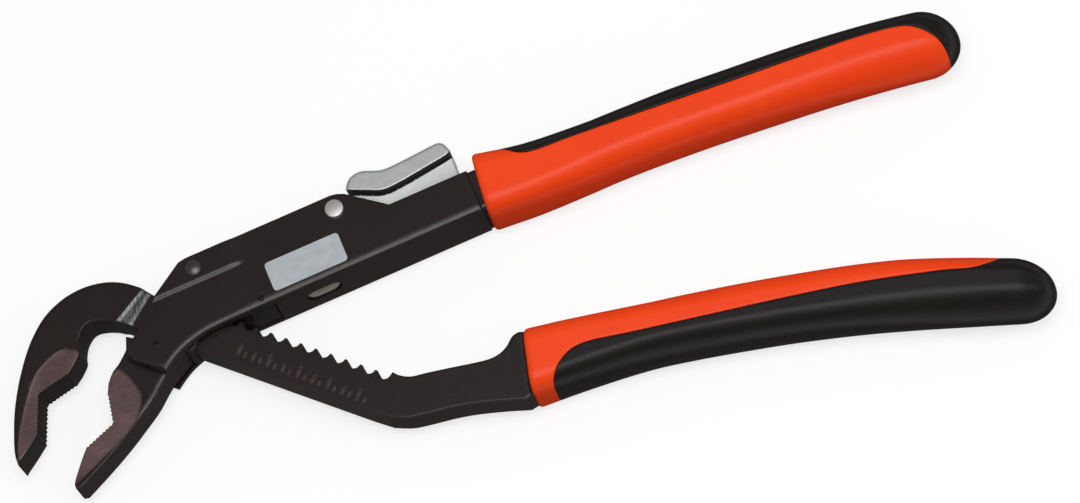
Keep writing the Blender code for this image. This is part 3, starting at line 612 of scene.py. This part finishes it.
def relief_plate(name, outline, half, limb, body, materials, node=None, lines=(), finish=None,
                 step=1.0):
    """A flat piece whose edge is rounded all round, from an outline of (point, edge radius) pairs.

    half is its half thickness, or gives it for places, and lines are where that bends. finish(places, tilt)
    gives the number of each face's material from its place and how far its normal leans from upright.
    """
    edge, radii = dense(outline, step)
    for _ in range(3):
        radii = (np.roll(radii, 1) + 2 * radii + np.roll(radii, -1)) / 4
    if np.sum(edge[:, 0] * np.roll(edge[:, 1], -1) - np.roll(edge[:, 0], -1) * edge[:, 1]) < 0:
        edge, radii = edge[::-1], radii[::-1]
    flat, _, triangles, *_ = delaunay_2d_cdt(*plate_net(edge, radii, lines), [], 0, 1e-4, False)
    flat = np.array([tuple(p) for p in flat])
    triangles = np.array([tuple(t) for t in triangles])
    triangles = triangles[is_inside(flat[triangles].mean(axis=1), edge)]
    height = (half(flat) if callable(half) else half) - edge_drop(flat, edge, radii)
    total = len(flat)
    points = [(x, y, sign * z) for sign in (1, -1) for (x, y), z in zip(flat, height)]
    faces = [tuple(map(int, t)) for t in triangles]
    sides = {pair for a, b, c in faces for pair in ((a, b), (b, c), (c, a))}
    walls = [(b, a, a + total, b + total) for a, b in sorted(sides) if (b, a) not in sides]
    faces += [tuple(v + total for v in t[::-1]) for t in faces] + walls
    piece = finish_mesh(name, points, faces, limb, body, materials, node, sharp=32)
    if finish:
        back = limb.inverted()
        faces = piece.data.polygons
        middles = np.array([tuple(back @ f.center / MM) for f in faces])
        tilt = np.degrees(np.arccos(np.clip(np.abs([f.normal.z for f in faces]), 0.0, 1.0)))
        for face, number in zip(faces, finish(middles, tilt)):
            face.material_index = int(number)
    keep_faces_flat(piece)
    return piece


def beside(line, distance):
    """A line moved to its left by a distance."""
    moved = []
    for i, p in enumerate(line):
        way = Vector(line[min(i + 1, len(line) - 1)]) - Vector(line[max(i - 1, 0)])
        moved.append(tuple(Vector(p) + Vector((-way.y, way.x)).normalized() * distance))
    return moved


def with_edge(points, radius):
    """An outline's points, all with one edge radius."""
    return [(p, radius) for p in points]


def teeth(start, end, count):
    """Fine gripping teeth from start towards end, cut to the right of the way, without the end point."""
    start, way = Vector(start), Vector(end) - Vector(start)
    inward = Vector((way.y, -way.x)).normalized() * TOOTH_CUT
    points = []
    for i in range(count):
        points += [tuple(start + way * i / count), tuple(start + way * (i + 0.5) / count + inward)]
    return points


def gripping_edge(corners, counts):
    """The toothed edge of a jaw: two rows of teeth between its first three corners, then the rest."""
    rows = teeth(corners[0], corners[1], counts[0]) + teeth(corners[1], corners[2], counts[1])
    return with_edge(rows + corners[2:], 0.12)


def ground_off(places, area, border):
    """What the wheel took off a jaw's face: a soft step down at the border of the ground area."""
    depth = np.where(is_inside(places, area), line_distance(places, border), 0.0)
    return GRIND * ease(depth / GRIND_SLOPE)


# How far from the border the soft step is drawn
GRIND_LINES = (0.0, 0.12, 0.25, 0.38, 0.5)
hook_back_shares = [(-0.72, -1.0), (-0.775, -0.955), (-0.842, -0.863), (-0.902, -0.761), (-0.951, -0.646),
                    (-0.987, -0.519), (-1.0, -0.408), (-0.984, -0.293), (-0.922, -0.187), (-0.829, -0.104),
                    (-0.712, -0.045), (-0.591, -0.015), (-0.466, -0.008)]
hook_throat_shares = [(-0.557, -0.206), (-0.627, -0.224), (-0.692, -0.258), (-0.707, -0.319),
                      (-0.684, -0.377), (-0.658, -0.41), (-0.658, -0.466)]
hook_bite_shares = [(-0.671, -0.516), (-0.795, -0.651), (-0.689, -0.829), (-0.705, -0.918)]
hook_facet_shares = [(-0.65, -0.395), (-0.723, -0.404), (-0.785, -0.423), (-0.834, -0.481), (-0.87, -0.573),
                     (-0.855, -0.688), (-0.824, -0.794), (-0.785, -0.889), (-0.715, -1.02)]
shank_top_shares = [(0.057, 0.062), (0.117, 0.048), (0.202, 0.097), (0.298, 0.242), (0.449, 0.464),
                    (0.669, 0.782), (0.75, 0.955), (0.789, 1.142), (0.798, 1.343), (0.828, 1.467)]
shank_low_shares = [(1.1, 0.392), (0.94, 0.235), (0.759, 0.035), (0.605, -0.166), (0.425, -0.45),
                    (0.307, -0.616), (0.172, -0.72)]


def forge_lower_limb():
    """The forged lower limb: hook jaw, neck, toothed arm, and a shank that ends in a collar at the grip."""
    valley, peak_drop = 1.75, 0.1
    back = curved(hook_back_shares, *HOOK)
    outline = with_edge(back, 1.0)
    outline += with_edge([(-0.363 * HOOK_REACH, -SHOULDER_DROP), (-0.8 * TOOTH_PITCH, -SHOULDER_DROP)], 0.3)
    outline += with_edge([(-valley - 0.15 * TOOTH_PITCH, -peak_drop)], 0.15)
    lip = math.asin(peak_drop / valley)
    outline += with_edge([(i * TOOTH_PITCH + valley * math.cos(a), valley * math.sin(a)) for i in range(13)
                          for a in np.linspace(math.pi + lip, 2 * math.pi - lip, 9)], 0.15)
    outline += with_edge(curved(shank_top_shares, *SHANK), 0.5)
    facing = math.radians(SHANK_LEAN)
    ahead, side = Vector((math.cos(facing), math.sin(facing))), Vector((-math.sin(facing), math.cos(facing)))
    collar = Vector((RACK_END + SHANK_REACH, SHANK_RISE)) + ahead * 0.4
    outline += with_edge([tuple(collar + side * across) for across in (8.5, -8.5)], 1.9)
    outline += with_edge(curved(shank_low_shares, *SHANK), 0.4)
    outline += with_edge([(RACK_END, -ARM_DEPTH), (-0.466 * HOOK_REACH, -ARM_DEPTH)], 0.35)
    outline += with_edge(curved(hook_throat_shares, *HOOK), 0.35)
    outline += gripping_edge(shares_to(hook_bite_shares, *HOOK), (8, 9))

    facet = curved(hook_facet_shares, *HOOK, steps=5)
    ground_area = facet + [(-0.5 * HOOK_REACH, -60.0), (-0.5 * HOOK_REACH, facet[0][1])]
    # Two ledges across the neck take the jaw's thickness down to the arm's; their ends lie past the outline
    ledges = [[(-top * HOOK_REACH, 3.0), (-top * HOOK_REACH, 0.0), (-foot * HOOK_REACH, -ARM_DEPTH),
               (-foot * HOOK_REACH, -14.0)] for top, foot in ((0.44, 0.515), (0.4, 0.431))]
    slope = 0.9
    fall = (HOOK_HALF - ARM_HALF) / 2

    def ledge_at(ledge, y):
        xs, ys = zip(*reversed(ledge))
        return np.interp(y, ys, xs)

    def half(places):
        x, y = places.T
        level = HOOK_HALF - fall * sum(ease((x - ledge_at(ledge, y)) / slope) for ledge in ledges)
        return level - ground_off(places, ground_area, facet)

    def finish(places, tilt):
        flat = places[:, :2]
        x, y = flat.T
        bare = is_inside(flat, ground_area) & (line_distance(flat, back) > 0.95) & (tilt < 45)
        band = (x > ledge_at(ledges[0], y)) & (x < ledge_at(ledges[1], y) + slope) & (y > -ARM_DEPTH - 1.5)
        return np.where(bare, 1, np.where(band & (tilt < 40), 2, 0))

    lines = [beside(facet, d) for d in GRIND_LINES]
    lines += [[(x + d * slope, y) for x, y in ledge] for ledge in ledges for d in (0.0, 0.25, 0.5, 0.75, 1.0)]
    relief_plate("forged_lower_limb", outline, half, LOWER, "lower_limb",
                 [BLACK_STEEL, GROUND_STEEL, BURNISHED], "hook_jaw_limb", lines, finish)


jaw_mouth_shares = [(-1.0, -1.0), (-0.996, -0.944), (-0.961, -0.869), (-0.914, -0.778)]
jaw_bite_shares = [(-0.868, -0.699), (-0.691, -0.598), (-0.661, -0.353)]
jaw_neck_shares = [(-0.637, -0.268), (-0.6, -0.199), (-0.542, -0.141), (-0.479, -0.056)]
jaw_back_shares = [(-0.311, -0.399), (-0.363, -0.461), (-0.451, -0.575), (-0.575, -0.693), (-0.713, -0.814),
                   (-0.838, -0.912), (-0.972, -1.01)]
jaw_facet_shares = [(-0.574, -0.19), (-0.54, -0.212), (-0.508, -0.32), (-0.49, -0.448), (-0.497, -0.52),
                    (-0.542, -0.627), (-0.62, -0.735), (-0.758, -0.824), (-0.898, -0.915), (-0.975, -0.96)]


def forge_lower_jaw():
    """The lower jaw, which stands between the cheeks of the body and shows ahead of them."""
    outline = with_edge(curved(jaw_mouth_shares, *JAW), 0.3)
    outline += gripping_edge(shares_to(jaw_bite_shares, *JAW), (8, 7))
    outline += with_edge(curved(jaw_neck_shares, *JAW), 0.3)
    # The upper edge clears the arm when it is turned shut, and ends in an arc round the saddle's strap
    gap = ARM_DEPTH + CLEARANCE
    facing = math.radians(RACK_ANGLE - BODY_ANGLE - 90 + CLOSE_TURN)
    near = Vector((math.cos(facing), math.sin(facing))) * gap
    way = Vector((math.sin(facing), -math.cos(facing)))
    sweep = math.hypot(STRAP_HALF, gap + STRAP_THICKNESS) + CLEARANCE
    corner = near + way * math.sqrt(sweep ** 2 - gap ** 2)
    outline += with_edge([tuple(near + way * JAW_REACH * 0.389)], 0.2)
    turns = np.linspace(math.atan2(corner.y, corner.x), math.radians(RACK_ANGLE - BODY_ANGLE - 90), 9)
    outline += with_edge([(sweep * math.cos(a), sweep * math.sin(a)) for a in turns], 0.2)

    def back_rim(x):
        return 0.4 + 1.2 * ease((x + 28.0) / 6.0)

    back = curved(jaw_back_shares, *JAW)
    outline += [(point, float(back_rim(point[0]))) for point in back]
    facet = curved(jaw_facet_shares, *JAW, steps=5)
    ground_area = facet + [(-60.0, facet[-1][1]), (-60.0, facet[0][1])]

    def half(places):
        return ARM_HALF - ground_off(places, ground_area, facet)

    def finish(places, tilt):
        flat = places[:, :2]
        beyond_rim = line_distance(flat, back) > back_rim(flat[:, 0]) - 0.05
        return is_inside(flat, ground_area) & beyond_rim & (tilt < 45)

    relief_plate("forged_lower_jaw", outline, half, UPPER, "upper_limb", [BLACK_STEEL, GROUND_STEEL],
                 "lower_jaw", [beside(facet, -d) for d in GRIND_LINES], finish)


def prism(points, low, high, turned=False, limb=UPPER):
    """A cutter with a flat outline, from a low to a high level along Z, or along Y when it is turned."""
    levels = [(x, z, y) if turned else (x, y, z) for z in (low, high) for x, y in points]
    return build_mesh("cutter", levels, ring_faces(len(points), 2), limb)


def round_outline(x, y, radius, run=0.0, steps=32):
    """A circle, or a slot when it has a run."""
    return [(x + math.copysign(run, math.cos(a)) + radius * math.cos(a), y + radius * math.sin(a))
            for a in np.linspace(0, 2 * math.pi, steps + 1)[:-1]]


def carve(piece, cutters):
    """Cut prisms out of a piece for good, and shade what is left."""
    piece.modifiers.clear()
    holders = [placed("cutter", mesh) for mesh in cutters]
    for holder in holders:
        cut = piece.modifiers.new("cut", "BOOLEAN")
        cut.object = holder
        cut.solver = "EXACT"
    graph = bpy.context.evaluated_depsgraph_get()
    mesh = bpy.data.meshes.new_from_object(piece.evaluated_get(graph))
    piece.modifiers.clear()
    piece.data = mesh
    shade(mesh, 32)
    for holder in holders:
        bpy.data.objects.remove(holder)
    keep_faces_flat(piece)


cheek_top_shares = [(-1.0, -0.301), (-0.867, -0.09), (-0.449, 0.549), (-0.071, 0.975), (0.022, 1.0)]
cheek_low_shares = [(0.267, -1.0), (-0.044, -1.043), (-0.289, -1.217), (-0.467, -1.464), (-0.64, -1.841)]


def fold_body():
    """The folded body: two cheeks and the web under them, the pad round the front rivet, and the tang."""
    crisp, end_edge, fold, front_fold = 0.3, 0.6, 2.2, 1.7
    outline = with_edge(shares_to(cheek_top_shares, CHEEK_FRONT, BODY_CREST) + [(LEVER_X, BODY_CREST)], crisp)
    outline += with_edge(shares_to([(0.055, 0.98), (0.115, 0.917)], LEVER_REAR, BODY_CREST, LEVER_X), crisp)
    outline += with_edge([(LEVER_X + 0.405 * LEVER_REAR, BODY_TAIL), (BODY_REACH, BODY_TAIL)], crisp)
    outline += with_edge([(BODY_REACH, BODY_TAIL - 0.2), (BODY_REACH, 1.5 - BODY_BELLY)], end_edge)
    outline += with_edge([(x, -BODY_BELLY) for x in (BODY_REACH, 60.0, 12.0)], fold)
    outline += with_edge(curved(cheek_low_shares, CHEEK_FRONT, BODY_BELLY), front_fold)
    outline += with_edge([(-21.0, -6.5)], crisp)
    pad_foot, pad_slope, pad_rise, pad_rear, pad_fade = 5.6, 1.3, 0.4, 14.5, 4.0

    def half(places):
        x, y = places.T
        return BODY_HALF + pad_rise * ease((y - pad_foot) / pad_slope) * ease((pad_rear - x) / pad_fade)

    lines = [[(-25.0, pad_foot + d), (15.0, pad_foot + d)]
             for d in (-0.25, 0.0, 0.2, 0.42, 0.65, 0.88, 1.1, 1.3, 1.55)]
    lines += [[(pad_rear - d, 7.3), (pad_rear - d, 14.0)] for d in (4.0, 3.1, 2.1, 1.1, 0.0)]
    body = relief_plate("folded_body", outline, half, UPPER, "upper_limb", [BLACK_STEEL],
                        "channel_frame", lines)
    front, high, web_top, wall = -27.0, 18.0, SHEET - BODY_BELLY, BODY_REACH - 1.3
    hollow = prism([(front, -high), (WEB_START, -high), (WEB_START, web_top), (wall, web_top), (wall, high),
                    (front, high)], SHEET - BODY_HALF, BODY_HALF - SHEET)
    window = prism(round_outline(WINDOW_X, 0.0, 2.8, WINDOW_RUN), -8.0, -4.0, turned=True)
    pin_holes = [prism(round_outline(x, -5.0, 0.85), low, low + 1.5) for x in (-14.3, 14.3)
                 for low in (7.0, -8.5)]
    trunnion_seats = [prism(round_outline(0.0, 0.0, 4.8), low, low + 1.9) for low in (5.0, -6.9)]
    carve(body, [hollow, window] + pin_holes + trunnion_seats)
    tang = [(BODY_REACH + x, y) for x, y in ((-1.2, 4.3), (3.5, 4.3), (3.5, -6.6), (-1.2, -6.6))]
    relief_plate("body_tang", with_edge(tang, 1.2), 7.4, UPPER, "upper_limb", [BLACK_STEEL])


# The last five are the pad's foot on the web, from the rear
lever_pad_shares = [(0.146, 1.457), (0.139, 1.511), (0.167, 1.674), (0.211, 1.793), (0.303, 1.826),
                    (0.455, 1.62), (0.628, 1.62), (0.898, 1.685), (0.96, 1.641), (0.991, 1.478),
                    (0.985, 1.261), (0.793, 1.152), (0.542, 1.043), (0.399, 1.043), (0.279, 1.228)]
lever_top_shares = [(0.139, 1.37), (0.167, 1.543), (0.211, 1.652), (0.294, 1.652), (0.455, 1.5),
                    (0.628, 1.489), (0.981, 1.36), (1.0, 1.272)]
lever_floor_shares = [(0.994, 0.239), (0.95, 0.098), (0.625, 0.098), (0.316, 0.174), (0.13, 0.348)]
tongue_shares = [(0.352, 0.87), (0.854, 1.261), (1.005, 1.413)]


def press_thumb_lever():
    """The thumb lever: a web with the tongue that lifts the pawl, a rounded pad on it and the hub."""
    tongue_tip, tongue_low, tongue_high = 6.5, 5.05, 7.6
    outline = with_edge([(tongue_tip, tongue_low), (tongue_tip, tongue_high)]
                        + shares_to(tongue_shares, LEVER_X, LEVER_Y), 0.2)
    outline += with_edge(shares_to(lever_top_shares + lever_floor_shares, *LEVER), 0.5)
    outline += with_edge([(0.905 * LEVER_X, LEVER_Y / 2), (0.754 * LEVER_X, LEVER_Y / 2), (17.0, tongue_low)],
                         0.2)
    foot = curved([(1.04, 1.36)] + lever_pad_shares[-5:] + lever_pad_shares[:1], *LEVER, steps=6)
    web_half, web_lean, groove_depth, groove_width, groove_slope = 4.3, 0.35, 1.6, 0.8, 0.35

    def from_foot(places):
        return line_distance(places[:, :2], foot)

    def half(places):
        groove = groove_depth * ease((groove_width - from_foot(places)) / groove_slope)
        return web_half - web_lean * np.clip(from_foot(places) / 4.0, 0.0, 1.0) - groove

    # The faces in the groove beside the pad take the zinc with painted shade
    relief_plate("thumb_lever_web", outline, half, UPPER, "lever", [ZINC, ZINC_PAINTED_SHADE],
                 "thumb_lever", [beside(foot, d) for d in (0.3, 0.45, 0.53, 0.62, 0.71, 0.8, 1.0)],
                 lambda places, tilt: from_foot(places) < groove_width + 0.02)
    steps = 6
    pad = curved(lever_pad_shares + lever_pad_shares[:1], *LEVER, steps=steps)[:-1]
    top = len(lever_pad_shares) - 5
    pad = [(point, 0.9 if 0 < i // steps < top else 0.3) for i, point in enumerate(pad)]
    # The steep lower side wall of the pad takes the zinc with painted shade
    relief_plate("thumb_lever_pad", pad, 6.4, UPPER, "lever", [ZINC, ZINC_PAINTED_SHADE],
                 finish=lambda places, tilt: (from_foot(places) < 0.5) & (tilt > 50), step=0.7)
    hub = with_edge(round_outline(LEVER_X, LEVER_Y, 4.2, steps=40), 0.3)
    relief_plate("thumb_lever_hub", hub, 5.35, UPPER, "lever", [ZINC])


def bend_leaf_spring():
    """The leaf spring on the web of the body, which gives way under the lever."""
    strip, hook, hook_x = 0.6, 1.7, 17.5
    level = SHEET - BODY_BELLY + CLEARANCE + strip / 2
    rise = LEVER_Y * 0.098 - strip - level
    centres = [(hook_x + hook * (1 - math.cos(a)), level + hook * (1 - math.sin(a)))
               for a in map(math.radians, (-20, 10, 40, 65, 90))]
    centres += [(22.5, level), (LEVER_X, level)]
    centres += [(LEVER_X + u * LEVER_REAR, level + v * rise) for u, v in ((0.25, 0.35), (0.55, 1.0),
                                                                          (0.64, 1.0))]
    line = [tuple(p) for p in spline(centres, 5)]
    outline = with_edge(beside(line, strip / 2) + beside(line, -strip / 2)[::-1], 0.1)
    leaf = relief_plate("leaf_spring", outline, 3.6, UPPER, None, [SPRING_STEEL],
                        "lever_spring")
    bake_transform(leaf)


def press_boss():
    """The boss that holds the spring: a low crown in the body's window, with a wall up to the spring."""
    steps = 48
    # Each row: share of the slot's size, and level
    profile = [(0.0, -6.8), (0.25, -6.78), (0.5, -6.72), (0.75, -6.6), (0.9, -6.42), (0.97, -6.2),
               (0.975, -4.5)]
    points = [(WINDOW_X + x * share, level, z * share) for share, level in profile
              for x, z in round_outline(0.0, 0.0, 2.75, WINDOW_RUN, steps)]
    finish_mesh("leaf_spring_boss", points, ring_faces(steps, len(profile)), UPPER, "upper_limb",
                [SPRING_STEEL])


def raised_bars(name, bars, base, rise, bevel, limb, body, material):
    """Low bars with sloped sides on both faces of a limb, each from its corners."""
    points, faces, sunk = [], [], 0.1
    for corners in bars:
        corners = [Vector(c) for c in corners]
        middle = sum(corners, Vector((0.0, 0.0))) / len(corners)
        inner = [c + (middle - c).normalized() * bevel for c in corners]
        for sign in (1, -1):
            faces += ring_faces(len(corners), 2, len(points))
            points += [(c.x, c.y, sign * (base - sunk)) for c in corners]
            points += [(c.x, c.y, sign * (base + rise)) for c in inner]
    finish_mesh(name, points, faces, limb, body, [material], sharp=60)


def mark_the_limbs():
    """A long and a short tick for each notch along the arm, and a plain printed panel on the cheek."""
    bars = []
    for i in range(3, 12):
        start = i * TOOTH_PITCH
        foot = -8.4 - 0.02 * start
        for x, width, height in ((start, 1.0, 3.7 if i % 2 else 2.7), (start + 2.0, 0.8, 1.7)):
            bars.append([(x, foot), (x + width, foot), (x + width, foot + height), (x, foot + height)])
    raised_bars("arm_position_ticks", bars, ARM_HALF, 0.09, 0.12, LOWER, "lower_limb", WORN_STEEL)
    left, right, low, high, corner = 19.0, 37.3, -3.9, 2.4, 0.9
    panel = [(x + corner * math.cos(math.radians(start + a)), y + corner * math.sin(math.radians(start + a)))
             for x, y, start in ((right, high, 0), (left, high, 90), (left, low, 180), (right, low, 270))
             for a in (0, 30, 60, 90)]
    raised_bars("cheek_printed_panel", [panel], BODY_HALF, 0.03, 0.03, UPPER, "upper_limb", PRINT)


def turned_head(name, x, y, profile, limb, body, material, node):
    """A rivet or pin: one turned head on each side of the body, from a profile of radii and heights."""
    steps = 40
    points = [(px, py, sign * height) for sign in (1, -1) for radius, height in profile
              for px, py in round_outline(x, y, radius, steps=steps)]
    rings = len(profile)
    faces = ring_faces(steps, rings) + ring_faces(steps, rings, rings * steps)
    finish_mesh(name, points, faces, limb, body, [material], node, sharp=40)


def form_saddle():
    """The saddle round the arm: two round ears joined by a strap, with a trunnion on each ear."""
    drop = ARM_DEPTH + CLEARANCE
    low = -drop - STRAP_THICKNESS
    shoulder = math.asin(STRAP_HALF / EAR_RADIUS)
    ear = [(EAR_RADIUS * math.cos(a), EAR_RADIUS * math.sin(a))
           for a in np.linspace(-math.pi / 2 + shoulder, 3 * math.pi / 2 - shoulder, 41)]
    corner = [(-STRAP_HALF + x, low + y) for x, y in ((0.0, 1.3), (0.35, 0.6), (0.9, 0.12), (1.3, 0.0))]
    outline = with_edge(ear + corner + [(-x, y) for x, y in reversed(corner)], 0.3)
    saddle = relief_plate("saddle_ears_and_strap", outline, 5.35, LOWER, "saddle", [BLACK_STEEL],
                          "swivel_saddle")
    wide = EAR_RADIUS + 1.0
    mouth = [(-wide, -drop), (wide, -drop), (wide, wide), (-wide, wide)]
    carve(saddle, [prism(mouth, -4.85, 4.85, limb=LOWER)])
    turned_head("saddle_trunnions", 0.0, 0.0, [(4.2, 6.6), (4.5, 6.3), (4.5, 5.1)], LOWER, "saddle",
                BLACK_STEEL, None)


def dome(radius, base, top, lip):
    """Profile of a low domed head with a rounded rim."""
    profile = [(radius * s, top - (top - base - lip) * s ** 2) for s in (0.15, 0.35, 0.55, 0.72, 0.86, 0.95)]
    return profile + [(radius, base + lip * 0.75), (radius * 1.01, base + lip * 0.35), (radius, base - 0.4)]


def head_the_rivets():
    """The heads of the two rivets and the flush ends of the two pins, where the solids have them."""
    places = {}
    for node in ("front_rivet", "lower_jaw_pin", "guide_block_pin"):
        low, high = (Vector(c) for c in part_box(node))
        places[node] = UPPER.inverted() @ ((low + high) / 2) / MM
    place = places.pop("front_rivet")
    turned_head("front_rivet_heads", place.x, place.y, dome(2.15, 8.2, 9.15, 0.35), UPPER, "upper_limb",
                DULL_RIVET, "front_rivet")
    turned_head("lever_rivet_heads", LEVER_X, LEVER_Y, dome(2.4, 7.85, 9.0, 0.95), UPPER, "upper_limb",
                BRIGHT_RIVET, "lever_rivet")
    for pin, place in places.items():
        turned_head(pin + "_ends", place.x, place.y, [(0.3, 7.42), (0.7, 7.4), (0.8, 7.3), (0.8, 6.9)], UPPER,
                    "upper_limb", BLACK_STEEL, pin)


def studio():
    """White floor, a soft lamp overhead, a weak one on the right and a faint pale room."""
    floor = placed("floor", bpy.data.meshes.new("floor"))
    bm = bmesh.new()
    bmesh.ops.create_grid(bm, x_segments=1, y_segments=1, size=3.0)
    bm.to_mesh(floor.data)
    bm.free()
    material, shader, _ = new_material("white card", Roughness=0.9, Base_Color=srgb("#969696"),
                                       Specular_IOR_Level=0.0)
    path = add(material, "ShaderNodeLightPath")
    seen = path.outputs["Is Camera Ray"]
    for ray in ("Is Glossy Ray", "Is Transmission Ray"):
        either = add(material, "ShaderNodeMath", {0: seen, 1: path.outputs[ray]}, operation="MAXIMUM")
        seen = either.outputs[0]
    glow = add(material, "ShaderNodeEmission", {"Strength": 0.72})
    none = add(material, "ShaderNodeEmission", {"Strength": 0.0})
    lift = add(material, "ShaderNodeMixShader", {0: seen, 1: none.outputs[0], 2: glow.outputs[0]})
    both = add(material, "ShaderNodeAddShader", {0: shader.outputs[0], 1: lift.outputs[0]})
    output = material.node_tree.nodes["Material Output"]
    material.node_tree.links.new(both.outputs[0], output.inputs["Surface"])
    floor.data.materials.append(material)

    world = bpy.data.worlds.new("studio")
    bpy.context.scene.world = world
    world.use_nodes = True
    light = world.node_tree.nodes["Background"].inputs
    light["Color"].default_value = (1.0, 1.0, 1.0, 1.0)
    light["Strength"].default_value = 0.3

    for name, place, size, power in (("overhead", (0.08, -0.18, 1.2), 0.7, 9.2),
                                     ("right", (1.0, -0.2, 0.9), 0.4, 2.0)):
        lamp = bpy.data.lights.new(name, "AREA")
        lamp.shape = "RECTANGLE"
        lamp.size = lamp.size_y = size
        lamp.energy = power
        holder = placed(name, lamp)
        holder.location = place
        holder.rotation_euler = (-Vector(place)).to_track_quat("-Z", "Y").to_euler()


def camera():
    """The photograph's view: nearly from above, leaning to the handles' lower side."""
    aim, distance, lean, roll = (7.8, 3.5, 9.2), 1125.0, 22.0, -23.6
    data = bpy.data.cameras.new("camera")
    data.lens = 150.0
    data.sensor_width = 36.0
    view = placed("camera", data)
    tilt = Matrix.Rotation(math.radians(lean), 4, "X")
    view.matrix_world = turned_frame(aim, BODY_ANGLE) @ tilt @ turned_frame((0.0, 0.0, distance), roll)
    bpy.context.scene.camera = view


forge_lower_limb()
forge_lower_jaw()
fold_body()
for inner_node in ("guide_block", "locking_pawl"):
    for material_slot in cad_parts[inner_node].material_slots:
        material_slot.material = BLACK_STEEL
press_thumb_lever()
bend_leaf_spring()
press_boss()
mark_the_limbs()
form_saddle()
head_the_rivets()
studio()
camera()
bpy.context.scene.view_settings.view_transform = "Standard"
